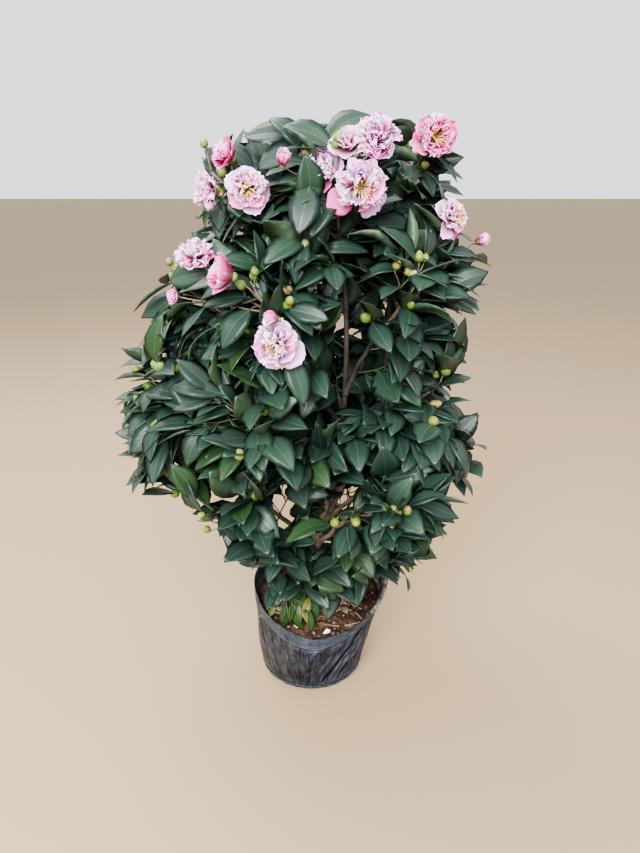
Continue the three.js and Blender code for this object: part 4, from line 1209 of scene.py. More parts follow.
# Basal shoot: a tuft of soft young leaves, narrow, bright green and some of them yellowing, that
# hangs forward from the foot of the trunk over the soil.
BASAL_TIPS = np.array([
    [-0.036, -0.098, 0.216], [-0.010, -0.104, 0.216], [-0.056, -0.096, 0.206], [0.010, -0.096, 0.218],
    [-0.022, -0.114, 0.200], [-0.045, -0.112, 0.192], [0.002, -0.112, 0.198]])
BASAL_ROOM = (0.012, 0.136, 0.160)  # middle and radius of its leaf tips' round, and their least height
basal_wood = curves(shoots[shoot_mass == BASAL], 12).reshape(-1, 3)
basal_wood = basal_wood[basal_wood[:, 1] > -0.080]
away = np.linalg.norm(BASAL_TIPS[:, None] - basal_wood, axis=-1)
start = basal_wood[away.argmin(axis=1)]
knee = 0.5 * (start + BASAL_TIPS) + 0.012 * UP
young_twigs = np.stack([start, knee, BASAL_TIPS], axis=1)
young_paths = curves(young_twigs, 7)
piece = add_piece("basal_twigs", *tubes(young_paths, taper(young_paths, 0.0014, 0.0009), 5), [twig_green])
young_sites = leaf_sites(young_twigs, np.full(len(young_twigs), BASAL), 0.3, 0.008, 84)
young = grow_leaves(young_sites, (0.040, 0.062), 95)
rng = np.random.default_rng(98)
count = len(young["foot"])
young["ahead"] = unit(0.4 * young["ahead"] + 0.25 * outward(young["foot"]) + (0.06, -0.30, -0.60)
                      + 0.22 * rng.normal(size=(count, 3)))
face = 0.5 * UP + (0, -0.8, 0) + 0.35 * rng.normal(size=(count, 3))
young["face"] = square_to(young["ahead"], face)
young["width"] = young["width"] * 0.70
tips = leaf_point(young, 1)
keep = (tips[:, 2] > BASAL_ROOM[2]) & (np.hypot(tips[:, 0] - BASAL_ROOM[0], tips[:, 1]) < BASAL_ROOM[1])
young = spaced(chosen(young, keep), 0.011, 96)
young_tones = np.where(np.arange(len(young["foot"])) % 6 == 5, YELLOW, YOUNG)
piece = leaf_piece("leaves_basal", young, young_tones)
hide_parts("foliage_basal")

# Buds: round, as big as a hazelnut, wrapped in overlapping scales that run from green at the foot to
# yellow, with pink showing at the tips of some. They sit singly or in pairs at the twigs' ends.
BUD_ROWS = np.array([0.0, 0.10, 0.24, 0.40, 0.56, 0.72, 0.86, 0.95, 1.0])
BUD_SIDES = 10
BUDS_FROM = (0.62, 0.40)  # the share of the crown's reach, and the height, from which twigs bear buds
BUDDING, PAIRED = 0.64, 0.4  # the share of those twigs that do, and the share of these with a pair


def buds(foot, ahead, length, width, phase):
    """Buds, many at once: the radius is an egg's, half the width times a sine of v, and each of three
    courses of scales stands a little proud at its top edge."""
    v = BUD_ROWS[None, :, None]
    turn = all_round(BUD_SIDES)[None, None]
    egg = np.sin(np.pi * np.minimum(v, 0.999) ** 0.82) ** 0.75
    scales = 0.09 * np.cos(2.5 * turn + phase[:, None, None] + 2.1 * np.floor(3 * v)) * np.sin(np.pi * v)
    lap = 0.10 * ((3 * v) % 1.0) * (v < 0.97) * (v > 0.05)
    radii = 0.5 * width[:, None, None] * (egg * (1 + scales + lap)) + 0.0004
    paths = foot[:, None] + (length[:, None] * BUD_ROWS[None])[..., None] * ahead[:, None]
    return tubes(paths, radii, BUD_SIDES)


def bud_material(name, foot, middle, tip):
    """Scales that run from one colour at the bud's foot to another at its tip, each with a thin brown
    edge where it laps the next."""
    material = new_material(name, middle, 0.42)
    _, _, along = map_place(material)
    shade = ramp(material, along, [(0.12, foot), (0.55, middle), (0.80, middle), (0.93, tip)])
    lap = maths(material, "FRACT", maths(material, "MULTIPLY", along, 3.0))
    edge = ramp(material, lap, [(0.74, 0), (0.93, 0.7)])
    join_to(material, mixed(material, edge, shade, (0.130, 0.075, 0.024, 1)), "Base Color")
    return material


def tube_tones(tones, rows, sides):
    """The material of each face of many round pieces, each with one tone: first the walls of all, and
    then the fans that close them."""
    return np.concatenate([np.repeat(tones, (rows - 1) * sides), np.repeat(tones, 2 * sides)])


bud_materials = [
    bud_material("bud_green", (0.055, 0.115, 0.016), (0.098, 0.182, 0.028), (0.185, 0.225, 0.050)),
    bud_material("bud_yellow", (0.070, 0.125, 0.018), (0.172, 0.226, 0.046), (0.320, 0.260, 0.100)),
    bud_material("bud_pink", (0.070, 0.125, 0.018), (0.180, 0.212, 0.054), (0.620, 0.230, 0.200))]
bud_uv = np.stack(np.meshgrid(np.arange(BUD_SIDES) / BUD_SIDES, BUD_ROWS), axis=-1).reshape(-1, 2)
bud_uv = np.concatenate([bud_uv, [[0.5, 0.0], [0.5, 1.0]]])
all_twigs = np.concatenate([shoots[~holds_flower], fine])
rng = np.random.default_rng(97)
tips = all_twigs[:, 2]
left, right, depth = reach_at(tips[:, 2])
edge = np.hypot(tips[:, 0] / np.where(tips[:, 0] > 0, right, left), tips[:, 1] / depth)
budding = (edge > BUDS_FROM[0]) & (rng.uniform(size=len(tips)) < BUDDING) & (tips[:, 2] > BUDS_FROM[1])
bearing = np.nonzero(budding)[0]
bearing = np.concatenate([bearing, bearing[rng.uniform(size=len(bearing)) < PAIRED]])
ahead = unit(all_twigs[bearing, 2] - all_twigs[bearing, 1])
ahead = unit(ahead + 0.45 * rng.normal(size=(len(bearing), 3)) + 0.3 * UP + 0.3 * outward(tips[bearing]))
width = rng.uniform(0.0115, 0.0165, len(bearing))
length = width * rng.uniform(1.2, 1.4, len(bearing))
foot = tips[bearing] - 0.001 * ahead
corners, faces = buds(foot, ahead, length, width, rng.uniform(0, FULL_TURN, len(bearing)))
tone = rng.choice(3, len(bearing), p=(0.4, 0.32, 0.28))
piece = add_piece("buds", corners, faces, bud_materials,
                  tube_tones(tone, len(BUD_ROWS), BUD_SIDES), np.tile(bud_uv, (len(bearing), 1)))
spots = np.array([behind(flower, 0.24) for flower in flowers])
facings = np.array([flower["facing"] for flower in flowers])
sizes = np.array([flower["size"] for flower in flowers])
corners, faces = buds(spots, facings, 0.22 * sizes, 0.22 * sizes, np.arange(len(sizes)) * 1.0)
piece = add_piece("flower_scales", corners, faces, bud_materials[:1], uv=np.tile(bud_uv, (len(sizes), 1)))

# Grow bag: a sleeve of thin black film, closed and gathered beneath. The soil fills it out, it sags at
# the front and leans to the right, and it is hemmed, creased, scratched and grey with dust.
POT_RISE, POT_HEIGHT = 0.018, 0.218  # where the wall starts to widen, and the rim's height behind
POT_BASE, POT_RIM = 0.113, 0.144  # radii
POT_DIP, POT_LEAN = 0.056, 0.020  # how far the rim sags in front, and leans to the right
FILM = 0.0014
FOOT_RADIUS, FOOT_TOP = 0.094, 0.032  # the flat underside, and the top of the curve round it
TUCK = 0.0175  # how high the edge of the gathered base lies
SLANTS = [  # place round the bag at half its height, slope, width and depth of each slanting fold
    (-1.24, 0.60, 0.0018, 0.0024), (-1.10, 0.62, 0.0046, 0.0056), (-0.93, 0.58, 0.0018, 0.0034),
    (-0.82, 0.52, 0.0024, 0.0046), (-0.66, 0.42, 0.0024, 0.0040), (-0.50, 0.32, 0.0028, 0.0032),
    (-0.30, 0.25, 0.0030, 0.0028), (-1.78, 0.10, 0.0022, 0.0010), (-2.05, -0.12, 0.0024, 0.0012),
    (-2.35, -0.22, 0.0022, 0.0018), (-2.62, -0.30, 0.0028, 0.0022), (0.35, 0.20, 0.0030, 0.0030),
    (0.95, -0.30, 0.0026, 0.0026), (1.50, -0.25, 0.0030, 0.0028), (2.05, 0.35, 0.0028, 0.0024),
    (2.60, 0.30, 0.0030, 0.0026)]
SLANT_HEIGHT = 0.1  # about half the bag's height, where those places count
BAG_ROUND = 0.13  # radius of the round on which its creases and streaks are laid out
LINING_END = 0.146  # how far down the inner side goes, under the soil
DIM_AT = math.radians(-98)  # where the front lies in its own shade
SOIL_EDGE, SOIL_FALL = 0.179, 0.022  # the soil's height behind, and how much lower it is in front
SIDES = 360
FOOT_RINGS, WALL_RINGS, HEM_RINGS, LINING_RINGS = 36, 76, 22, 16


def wall_radius(height):
    """The bag's plain radius: it widens from base to rim as a power of the height."""
    share = np.clip((height - POT_RISE) / (POT_HEIGHT - POT_RISE), 0, None)
    return POT_BASE + (POT_RIM - POT_BASE) * share ** 0.85


def front_share(turn, power):
    """1 at the front and 0 at the back: half of one less the turn's sine, to a power."""
    return ((1 - np.sin(turn)) / 2) ** power


def rim_height(turn):
    """The rim sags towards the front."""
    return POT_HEIGHT - POT_DIP * front_share(turn, 3.5)


def soil_height(turn):
    """The soil's edge lies a little lower at the front."""
    return SOIL_EDGE - SOIL_FALL * front_share(turn, 1.5)


def bag_swell(turn, height):
    """The broad unevenness of the bag's round, which grows with the height."""
    rise = (height - POT_RISE) / (POT_HEIGHT - POT_RISE)
    return np.clip(rise, 0, None) * (0.0014 * np.sin(3 * turn + 0.8) + 0.0008 * np.sin(7 * turn))


def on_round(turn, height):
    """Places on an upright round, where the film's unevenness is worked out."""
    turn, height = np.broadcast_arrays(turn, height)
    return np.stack([BAG_ROUND * np.cos(turn), BAG_ROUND * np.sin(turn), height], axis=-1)


def hem_edge(turn):
    """The height of the hem's lower edge: it lies deepest below the rim at the left."""
    depth = 0.0300 - 0.0060 * np.cos(turn)
    return rim_height(turn) - depth - 0.0016 * np.sin(3 * turn) - 0.0006 * np.sin(11 * turn)


def ridge(off, width):
    """A crease's section: a low bell curve, with a deeper and broader one hollowed out beside it."""
    return 0.4 * np.exp(-(off / width) ** 2) - np.exp(-((off - 1.9 * width) / (1.4 * width)) ** 2)


def film_folds(turn, height):
    """The sharp creases: slanting folds, fine upright puckers, the hem's edge below the rim, and the
    edge of the gathered base near the foot."""
    out = 0.0006 * waves(on_round(turn, height) * (1, 1, 0.10), 16, (0.006, 0.02), 132)
    hem = height - hem_edge(turn)
    window = smooth((height - 0.014) / 0.03) * smooth(-hem / 0.016)
    for place, slope, width, depth in SLANTS:
        off = turn_from(turn, place) * BAG_ROUND - slope * (height - SLANT_HEIGHT)
        off = off + 0.0014 * np.sin(44 * height + 9 * place) + 0.0005 * np.sin(130 * height + 5 * place)
        fade = 0.40 + 0.60 * np.sin(9 * height + 2.3 * place) ** 2
        out = out + depth * fade * ridge(off, width) * window
    out = out - 0.0024 * np.exp(-((hem + 0.0022) / 0.0026) ** 2) + 0.0015 * smooth(hem / 0.003)
    tuck = height - TUCK - 0.0022 * np.sin(2 * turn + 0.7) - 0.0008 * np.sin(9 * turn)
    out = out - 0.0032 * np.exp(-(tuck / 0.0022) ** 2) + 0.0010 * smooth(-tuck / 0.003)
    gathers = np.sin(31 * turn + 3 * np.sin(4 * turn)) * np.exp(-(height / 0.018) ** 2)
    return out + 0.0008 * gathers * smooth(height / 0.006)


def film_dents(turn, height):
    """The soft unevenness of the film: broad dents and fine rucks."""
    places = on_round(turn, height)
    dents = 0.0018 * waves(places, 8, (0.06, 0.15), 131)
    return dents + 0.00035 * waves(places * (1, 1, 0.5), 18, (0.005, 0.012), 133)


def around_bag(turn, radius, height):
    """Places a point of the bag: its circles shift to the right as a power of the height."""
    lean = POT_LEAN * (np.maximum(height, 0) / POT_HEIGHT) ** 1.5
    parts = np.broadcast_arrays(radius * np.cos(turn) + lean, radius * np.sin(turn), height)
    return np.stack(parts, axis=-1)


def closed_lathe(grid):
    """The corners and faces of rings that rise one above another, closed by a fan at either end."""
    walls, foot, top = ring_faces(*grid.shape[:2])
    middles = grid[[0, -1]].mean(axis=1)
    return np.concatenate([grid.reshape(-1, 3), middles]), [walls, np.vstack([foot, top])]


turn = all_round(SIDES)
rim = rim_height(turn)
share = np.linspace(0, 1, FOOT_RINGS)[:, None]
foot_heights = FOOT_TOP * (1 - np.cos(share * np.pi / 2)) + 0 * turn
foot_reach = (wall_radius(FOOT_TOP) - FOOT_RADIUS) * np.sin(share * np.pi / 2) ** 0.9
foot_radii = FOOT_RADIUS + foot_reach + share * film_dents(turn, foot_heights)
edge = hem_edge(turn)
share = np.linspace(0, 1, WALL_RINGS)[1:, None]
wall_heights = FOOT_TOP + share * (edge - FOOT_TOP)
share = np.linspace(0, 1, HEM_RINGS)[1:, None]
wall_heights = np.vstack([wall_heights, edge + share * (rim - edge)])
wall_radii = wall_radius(wall_heights) + bag_swell(turn, wall_heights) + film_dents(turn, wall_heights)
ragged = 0.0012 * np.sin(9 * turn + 1) + 0.0006 * np.sin(31 * turn)
share = np.linspace(0, 1, LINING_RINGS)[:, None]
inner_heights = rim - 0.0005 - share * (rim - LINING_END)
inner_radii = wall_radius(inner_heights) + bag_swell(turn, inner_heights) - FILM
inner_radii = inner_radii + film_dents(turn, inner_heights) + film_folds(turn, inner_heights)
heights = np.vstack([foot_heights, wall_heights])
folds = film_folds(turn, heights) * smooth(heights / 0.004)
radii = np.vstack([foot_radii, wall_radii]) + folds
heights[-1] += ragged
inner_heights[0] += ragged
under = np.array([0.03, 0.06])[:, None] + 0 * turn
heights = np.vstack([0 * under, heights, inner_heights, LINING_END + 0 * under])
radii = np.vstack([under, radii, inner_radii, 0.11 + 0 * turn, 0.05 + 0 * turn])
corners, faces = closed_lathe(around_bag(turn, radii, heights))
fold_mark = np.zeros(heights.shape)
fold_mark[len(under):len(under) + len(folds)] = folds / 0.004
hem_mark = np.maximum(smooth((heights - edge + 0.0010) / 0.002), smooth((TUCK - 0.001 - heights) / 0.003))
# A painted highlight along the hem's edge, stronger at the front.
hem_highlight_mark = np.exp(-((heights - edge - 0.0012) / 0.0018) ** 2)
hem_highlight_mark = hem_highlight_mark * (0.35 + 0.65 * smooth(-1.4 * np.sin(turn)))
dust_mark = smooth((-np.cos(turn) + 0.05) / 0.9) + 0 * heights
around = turn_from(turn, DIM_AT)
dim_mark = np.exp(-(around / 0.62) ** 2) * smooth((edge - heights) / 0.02) * smooth(heights / 0.03)
slanted = turn - 0.55 * np.sin(turn + 1.7) * heights / BAG_ROUND
marks = {"fold": 0.5 + 0.5 * fold_mark, "hem": hem_mark, "line": hem_highlight_mark, "dust": dust_mark,
         "dim": dim_mark, "slant_x": BAG_ROUND * np.cos(slanted), "slant_y": BAG_ROUND * np.sin(slanted)}
marks = {mark: np.append(values, [0.5, 0.5]) for mark, values in marks.items()}


def marked(material, mark):
    """The number that the mesh carries under a name."""
    return wire(material, "Attribute", attribute_name=mark).outputs["Fac"]


# The film's colour in the order in which it is laid on: slanting streaks and scratches, the hem's level
# streaks, dust on the left, the front's shade, blotches, grit, painted shade in the hollows, and painted
# highlights on the ridges and along the hem's edge.
film = new_material("bag_film", (0.020, 0.020, 0.023), 0.42, Specular_IOR_Level=0.12)
place = own_place(film)
height = wire(film, "SeparateXYZ", {"Vector": place}).outputs["Z"]
across, deep = marked(film, "slant_x"), marked(film, "slant_y")
slanting = wire(film, "CombineXYZ", {"X": across, "Y": deep, "Z": height}).outputs["Vector"]
streaks = noise(film, slanting, 100, 7, 0.74, (1, 1, 0.20))
level_streaks = noise(film, place, 70, 7, 0.74, (0.45, 0.45, 2.4))
scratches = noise(film, slanting, 320, 4, 0.75, (1, 1, 0.10))
clouds = noise(film, place, 12, 4, 0.6)
blotches = noise(film, place, 48, 5, 0.65)
grit = noise(film, place, 460, 3, 0.7)
hem, line, dust, dim, fold = [marked(film, mark) for mark in ("hem", "line", "dust", "dim", "fold")]
shade = ramp(film, streaks, [(0.36, (0.008, 0.008, 0.011)), (0.50, (0.032, 0.035, 0.045)),
                             (0.65, (0.095, 0.110, 0.142))])
lines = ramp(film, scratches, [(0.50, 0), (0.66, 0.7)])
shade = mixed(film, lines, shade, (0.140, 0.160, 0.205, 1))
banded = ramp(film, level_streaks, [(0.38, (0.010, 0.014, 0.020)), (0.50, (0.034, 0.044, 0.062)),
                                    (0.62, (0.076, 0.094, 0.128))])
shade = mixed(film, maths(film, "MULTIPLY", hem, 0.8), shade, banded)
dusty = ramp(film, clouds, [(0.34, 0.2), (0.60, 1)])
dusty = maths(film, "MULTIPLY", maths(film, "MULTIPLY", dust, dusty), streaks)
shade = mixed(film, dusty, shade, (0.080, 0.080, 0.054, 1))
shade = mixed(film, dim, shade, (0.54, 0.49, 0.51, 1), "MULTIPLY")
blotched = ramp(film, blotches, [(0.42, 0.55), (0.62, 1)])
shade = mixed(film, 1.0, shade, blotched, "MULTIPLY")
specks = ramp(film, grit, [(0.60, 0), (0.72, 0.5)])
shade = mixed(film, specks, shade, (0.10, 0.10, 0.10, 1))
# Painted shade in the hollows of the folds.
hollow_shade = ramp(film, fold, [(0.16, (0.10, 0.10, 0.13)), (0.44, 1)])
shade = mixed(film, 1.0, shade, hollow_shade, "MULTIPLY")
# A painted highlight on the ridges of the folds.
ridge_highlight = ramp(film, fold, [(0.60, 0), (0.95, 0.8)])
shade = mixed(film, maths(film, "MULTIPLY", ridge_highlight, streaks), shade, (0.115, 0.132, 0.172, 1))
# The painted highlight along the hem's edge.
shade = mixed(film, maths(film, "MULTIPLY", line, 0.8), shade, (0.26, 0.29, 0.35, 1))
join_to(film, shade, "Base Color")
join_to(film, ramp(film, clouds, [(0.35, 0.36), (0.65, 0.60)]), "Roughness")
bump(film, mixed(film, 0.5, streaks, scratches), 0.35, 0.0012)
bag = add_piece("grow_bag", corners, faces, [film], marks=marks)
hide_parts("pot")

# Rim fold: at the right and behind, the bag's top is crumpled over, so that the film's inner side shows
# in short upright pleats, inside the rim and turned a little way out over it. Its pale colour is partly
# dust and partly painted light falling on the inner side, with painted shade in the pleats' hollows.
CUFF_FROM, CUFF_TO = math.radians(-39), math.radians(60)
CUFF_COURSE = np.array([  # share of the way, height from the rim, distance out from the wall
    [0.0, -0.038, -0.0030], [0.3, -0.018, -0.0046], [0.5, -0.004, -0.0036], [0.6, 0.0030, -0.0012],
    [0.68, 0.0034, 0.0018], [0.8, -0.003, 0.0046], [0.92, -0.011, 0.0054], [1.0, -0.015, 0.0040]])
CUFF_GRID = (26, 200)
CUFF_ROUND = 0.14
turn = np.linspace(CUFF_FROM, CUFF_TO, CUFF_GRID[1])
share = np.linspace(0, 1, CUFF_GRID[0])[:, None]
fade = np.sin(np.pi * np.linspace(0, 1, CUFF_GRID[1])) ** 0.4
places = np.stack([CUFF_ROUND * np.cos(turn), CUFF_ROUND * np.sin(turn), 0 * turn], axis=-1)
turned = 0.55 + 0.6 * waves(places, 5, (0.03, 0.09), 143)
turned = np.where(share > 0.66, np.clip(turned, 0.12, 1), 1)
course = np.interp(share, CUFF_COURSE[:, 0], CUFF_COURSE[:, 1]) * turned
height = rim_height(turn) + fade * course
pleats = waves(places + share[..., None] * (0, 0.006, 0.02), 12, (0.007, 0.024), 141)
crumple = waves(places * 2 + share[..., None] * (0, 0, 0.08), 10, (0.012, 0.03), 142)
height = height + fade * (0.0035 * pleats + 0.0018 * crumple) * (0.3 + share)
out = np.interp(share, CUFF_COURSE[:, 0], CUFF_COURSE[:, 2]) + 0.0024 * pleats + 0.0012 * crumple
inside = share < 0.6
out = np.where(inside, np.minimum(out, -0.0018), np.maximum(out, 0.0008 * (share > 0.66)))
radius = wall_radius(height) + bag_swell(turn, height) + film_dents(turn, height) + out
grid = around_bag(turn, radius, height)
# The pale colour is partly dust and partly painted light on the inner side.
cuff_film = new_material("bag_film_inside", (0.22, 0.20, 0.18), 0.5)
place = own_place(cuff_film)
streaks = noise(cuff_film, place, 70, 5, 0.7, (1, 1, 0.2))
shade = ramp(cuff_film, streaks, [(0.38, (0.02, 0.019, 0.018)), (0.50, (0.11, 0.10, 0.088)),
                                  (0.64, (0.18, 0.170, 0.155))])
# Painted shade in the hollows of the pleats.
hollow_shade = ramp(cuff_film, marked(cuff_film, "pleat"), [(0.25, (0.16, 0.14, 0.13)), (0.6, 1)])
join_to(cuff_film, mixed(cuff_film, 1.0, shade, hollow_shade, "MULTIPLY"), "Base Color")
bump(cuff_film, streaks, 0.3, 0.001)
cuff = add_piece("bag_rim_fold", grid.reshape(-1, 3), [sheet_faces(*CUFF_GRID)[:, ::-1]], [cuff_film],
                 marks={"pleat": 0.5 + 0.6 * (0.7 * pleats + 0.4 * crumple)})
thicken(cuff, 0.0006)

# Soil: moist brown potting soil, crumbly, mounded round the trunk's foot, with loose crumbs on top.
SOIL_BROWN = (0.068, 0.040, 0.028)
SOIL_DARK = (0.020, 0.013, 0.010)
SOIL_RED = (0.125, 0.072, 0.048)
SOIL_MOUND = (0.174, 0.135)  # height at the trunk's foot, and how far the mound spreads
SOIL_UNDER = ((0.035, 0.09, 0.109), 0.147)  # radii and height of the bed's underside
SOIL_GAP = 0.0030  # how far the soil keeps inside the film
SOIL_SIDES = 220
turn = all_round(SOIL_SIDES)


def soil_surface(across, deep):
    """The soil's height: level with its edge, raised to the trunk's foot, with clods and grains."""
    turn = np.arctan2(deep, across)
    edge = soil_height(turn)
    share = np.clip(np.hypot(across, deep) / SOIL_MOUND[1], 0, 1)
    places = np.stack([across, deep], axis=-1)
    mound = SOIL_MOUND[0] + (edge - SOIL_MOUND[0]) * smooth(share)
    clods = 0.0026 * np.abs(waves(places, 14, (0.012, 0.03), 151))
    grains = 0.0011 * waves(places, 24, (0.003, 0.008), 152)
    return mound + clods + grains


def on_soil(across, deep, lift):
    """Points that lie a little above the soil."""
    return np.stack([across, deep, soil_surface(across, deep) + lift], axis=-1)


bed = around_bag(turn, np.array(SOIL_UNDER[0])[:, None], SOIL_UNDER[1])
share = np.linspace(1, 0.004, 110)[:, None]
edge = soil_height(turn)
radius = (wall_radius(edge) - SOIL_GAP) * share
across = radius * np.cos(turn) + POT_LEAN * (edge / POT_HEIGHT) ** 1.5
deep = radius * np.sin(turn)
corners, faces = closed_lathe(np.concatenate([bed, on_soil(across, deep, 0)]))
soil_material = new_material("potting_soil", SOIL_BROWN, 0.95, Specular_IOR_Level=0.1)
place = own_place(soil_material)
patches = noise(soil_material, place, 26, 5, 0.6)
grains = noise(soil_material, place, 330, 5, 0.75)
shade = ramp(soil_material, patches, [(0.34, SOIL_DARK), (0.5, SOIL_BROWN), (0.66, SOIL_RED)])
light = ramp(soil_material, grains, [(0.36, (0.35, 0.33, 0.32)), (0.52, 1), (0.72, (1.0, 0.9, 0.8))])
join_to(soil_material, mixed(soil_material, 0.85, shade, light, "MULTIPLY"), "Base Color")
bump(soil_material, grains, 0.9, 0.002)
soil = add_piece("soil_top", corners, faces, [soil_material])
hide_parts("soil")

CRUMBS = 900
CRUMB_COURSE = np.array([[-1.0, 0.25], [-0.6, 0.85], [0.2, 1.0], [0.8, 0.6], [1.0, 0.2]])  # place, girth
CRUMB_SIDES = 6


def strewn(rng, spin, furthest, nearest, shift):
    """Places strewn over the soil at given turns, across and deep: the distance is the furthest, times
    the root of a random share."""
    distance = furthest * np.sqrt(rng.uniform(nearest, 1, len(spin)))
    return distance * np.cos(spin) + shift, distance * np.sin(spin)


rng = np.random.default_rng(161)
across, deep = strewn(rng, rng.uniform(0, 2 * np.pi, CRUMBS), 0.128, 0.03, 0.014)
size = 0.0011 + 0.0034 * rng.uniform(size=CRUMBS) ** 3
lie = unit(rng.normal(size=(CRUMBS, 3)))
middle = on_soil(across, deep, 0.3 * size)
paths = middle[:, None] + (size[:, None] * CRUMB_COURSE[None, :, 0])[..., None] * lie[:, None]
lumps = rng.uniform(0.6, 1.2, (CRUMBS, len(CRUMB_COURSE), CRUMB_SIDES)) * CRUMB_COURSE[None, :, 1:]
corners, faces = tubes(paths, size[:, None, None] * lumps, CRUMB_SIDES)
crumb_dark = new_material("crumb_dark", (0.035, 0.020, 0.013), 0.95, Specular_IOR_Level=0.1)
crumb_red = new_material("crumb_red", (0.120, 0.064, 0.037), 0.95, Specular_IOR_Level=0.1)
crumb_grey = new_material("crumb_grey", (0.170, 0.150, 0.125), 0.9, Specular_IOR_Level=0.1)
tone = rng.choice(3, CRUMBS, p=(0.5, 0.4, 0.1))
piece = add_piece("soil_crumbs", corners, faces, [crumb_dark, crumb_red, crumb_grey],
                  tube_tones(tone, len(CRUMB_COURSE), CRUMB_SIDES))

# Litter on the soil: fallen leaves gone tan and brown, curled as they dried, a few fallen petals, and
# bits of bare root and twig.
litter_tan = new_material("litter_tan", (0.25, 0.18, 0.105), 0.8, Specular_IOR_Level=0.2)
litter_brown = new_material("litter_brown", (0.10, 0.058, 0.032), 0.8, Specular_IOR_Level=0.2)
litter_green = new_material("litter_green", (0.085, 0.160, 0.035), 0.5)
litter_rib = new_material("litter_rib", (0.42, 0.32, 0.2), 0.8)
FALLEN = 30
rng = np.random.default_rng(171)
spin = np.concatenate([rng.uniform(3.3, 4.9, 18), rng.uniform(0, FULL_TURN, 12)])
across, deep = strewn(rng, spin, 0.105, 0.12, 0.012)
across[:2], deep[:2] = (0.084, -0.082), (-0.016, -0.062)
lie = rng.uniform(0, FULL_TURN, FALLEN)
lie[:2] = 2.2, 1.3
line = np.stack([np.cos(lie), np.sin(lie), rng.uniform(-0.1, 0.15, FALLEN)], axis=-1)
face = np.stack([rng.normal(0, 0.25, FALLEN), rng.normal(0, 0.25, FALLEN), np.ones(FALLEN)], axis=-1)
face[:2, 1] = -0.5
line = unit(line)
face = square_to(line, face)
length = rng.uniform(0.022, 0.052, FALLEN)
length[:2] = 0.040
foot = on_soil(across, deep, rng.uniform(0.003, 0.007, FALLEN))
foot[:2, 2] += 0.004
foot = foot - 0.5 * length[:, None] * line
corners, _ = leaf_blades(foot, line, face, length, length * rng.uniform(0.4, 0.55, FALLEN),
                         rng.uniform(-0.15, 0.2, FALLEN), rng.uniform(0.2, 1.0, FALLEN),
                         rng.uniform(0.1, 0.3, FALLEN), rng.uniform(0, FULL_TURN, FALLEN))
tone = rng.choice(3, FALLEN, p=(0.55, 0.4, 0.05))
tone[:2] = 2
looks = np.stack([tone, np.full(FALLEN, 3), tone], axis=-1)
piece = joined_leaves("fallen_leaves", corners, [litter_tan, litter_brown, litter_green, litter_rib],
                      looks, 0)

fallen_petal = new_material("fallen_petal", (0.86, 0.80, 0.78), 0.6)
FALLEN_PETALS = np.array([  # across, deep, length, bearing
    [0.034, -0.118, 0.017, 0.4], [-0.030, -0.100, 0.012, 2.0], [0.070, 0.060, 0.016, 4.0],
    [-0.050, 0.070, 0.015, 1.0]])
across, deep, length, lie = FALLEN_PETALS.T
line = np.stack([np.cos(lie), np.sin(lie), 0 * lie], axis=-1)
foot = on_soil(across, deep, 0.004) - 0.5 * length[:, None] * line
every = np.ones(len(lie))
grid = petals(OUTER_GRID, foot, line, UP * every[:, None], length, 0.8 * length, 0.12 * every,
              0.3 * every, 0.1 * every, 0.2 * every, lie)
piece = add_piece("fallen_petals", grid.reshape(-1, 3),
                  repeated([sheet_faces(*OUTER_GRID)], *grid.shape[:2]), [fallen_petal])
thicken(piece, 0.0005)

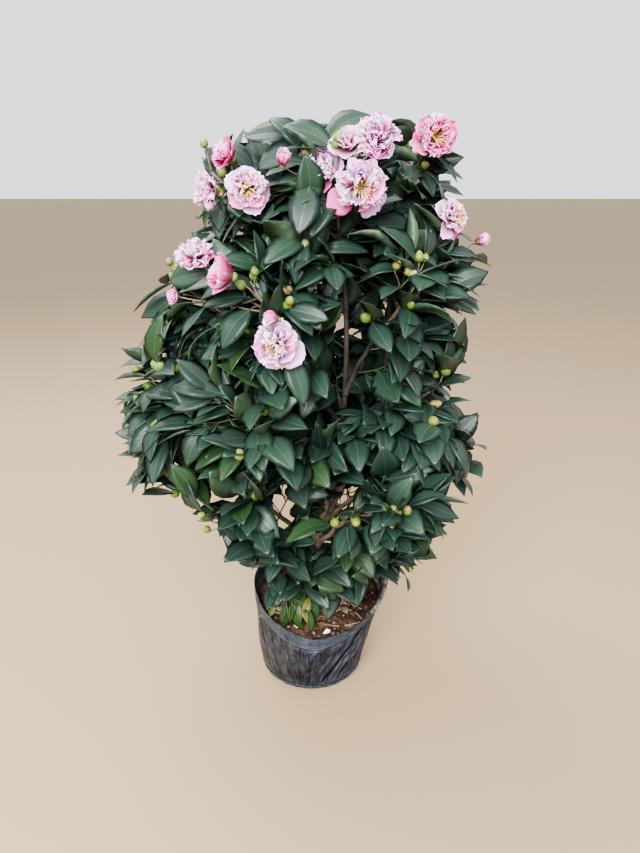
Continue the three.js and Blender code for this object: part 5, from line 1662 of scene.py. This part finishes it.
ROOTS = 26
middle = np.stack(strewn(rng, rng.uniform(0, FULL_TURN, ROOTS), 0.115, 0.1, 0.014), axis=-1)
middle[:2] = (0.024, -0.061), (0.083, -0.050)
lie = rng.uniform(0, FULL_TURN, ROOTS)
lie[:2] = -1.1, -0.3
along = np.stack([np.cos(lie), np.sin(lie)], axis=-1)
reach = rng.uniform(0.012, 0.034, ROOTS)
share = np.linspace(-1, 1, 14)
bow = rng.uniform(-0.5, 0.5, ROOTS)
bow[:2] = -0.45, -0.6
flat = (middle[:, None] + reach[:, None, None] * share[None, :, None] * along[:, None]
        + (reach * bow)[:, None, None] * (share ** 2)[None, :, None] * (along[:, ::-1] * (-1, 1))[:, None])
paths = on_soil(flat[..., 0], flat[..., 1], 0.0016)
radii = np.repeat(rng.uniform(0.0006, 0.0013, ROOTS)[:, None], 14, 1) * (1 - 0.4 * share ** 2)[None]
piece = add_piece("surface_roots", *tubes(paths, radii, 5), [litter_rib])

# Floor, light and camera: a pale floor, soft light from the upper left and behind, and the eye of
# someone standing in front who looks down a little.
FLOOR_SIDE = 80
LENS, LOOKS_DOWN = 27.05, 21
half = FLOOR_SIDE / 2
floor_mesh = bpy.data.meshes.new("floor")
floor_mesh.from_pydata([(-half, -half, 0), (half, -half, 0), (half, half, 0), (-half, half, 0)], [],
                       [(0, 1, 2, 3)])
floor = bpy.data.objects.new("floor", floor_mesh)
bpy.context.scene.collection.objects.link(floor)
floor_mesh.materials.append(new_material("floor_pale", (0.35, 0.250, 0.149), 0.9))

world = bpy.data.worlds.new("studio")
world.use_nodes = True
world.node_tree.nodes["Background"].inputs["Color"].default_value = (0.93, 0.96, 1.0, 1)
world.node_tree.nodes["Background"].inputs["Strength"].default_value = 1.42
bpy.context.scene.world = world


def soft_light(name, place, target, size, power, colour):
    """A square lamp that faces a point."""
    lamp = bpy.data.lights.new(name, "AREA")
    lamp.size = size
    lamp.energy = power
    lamp.color = colour
    made = bpy.data.objects.new(name, lamp)
    made.location = place
    ahead = unit(np.array(target) - np.array(place))
    made.rotation_euler = (math.acos(-ahead[2]), 0, math.atan2(-ahead[0], ahead[1]))
    bpy.context.scene.collection.objects.link(made)


soft_light("sky_light", (-1.3, 1.3, 3.1), (0, 0, 0.6), 2.0, 125, (1.0, 0.98, 0.94))
soft_light("front_light", (-0.5, -3.0, 2.5), (0, 0, 0.6), 2.4, 450, (0.98, 0.98, 1.0))
bpy.context.scene.view_settings.look = "AgX - Medium High Contrast"

camera = bpy.data.cameras.new("camera")
camera.lens = LENS
camera.sensor_width = 36
eye = bpy.data.objects.new("camera", camera)
eye.location = EYE
eye.rotation_euler = (math.radians(90 - LOOKS_DOWN), 0, 0)
bpy.context.scene.collection.objects.link(eye)
bpy.context.scene.camera = eye
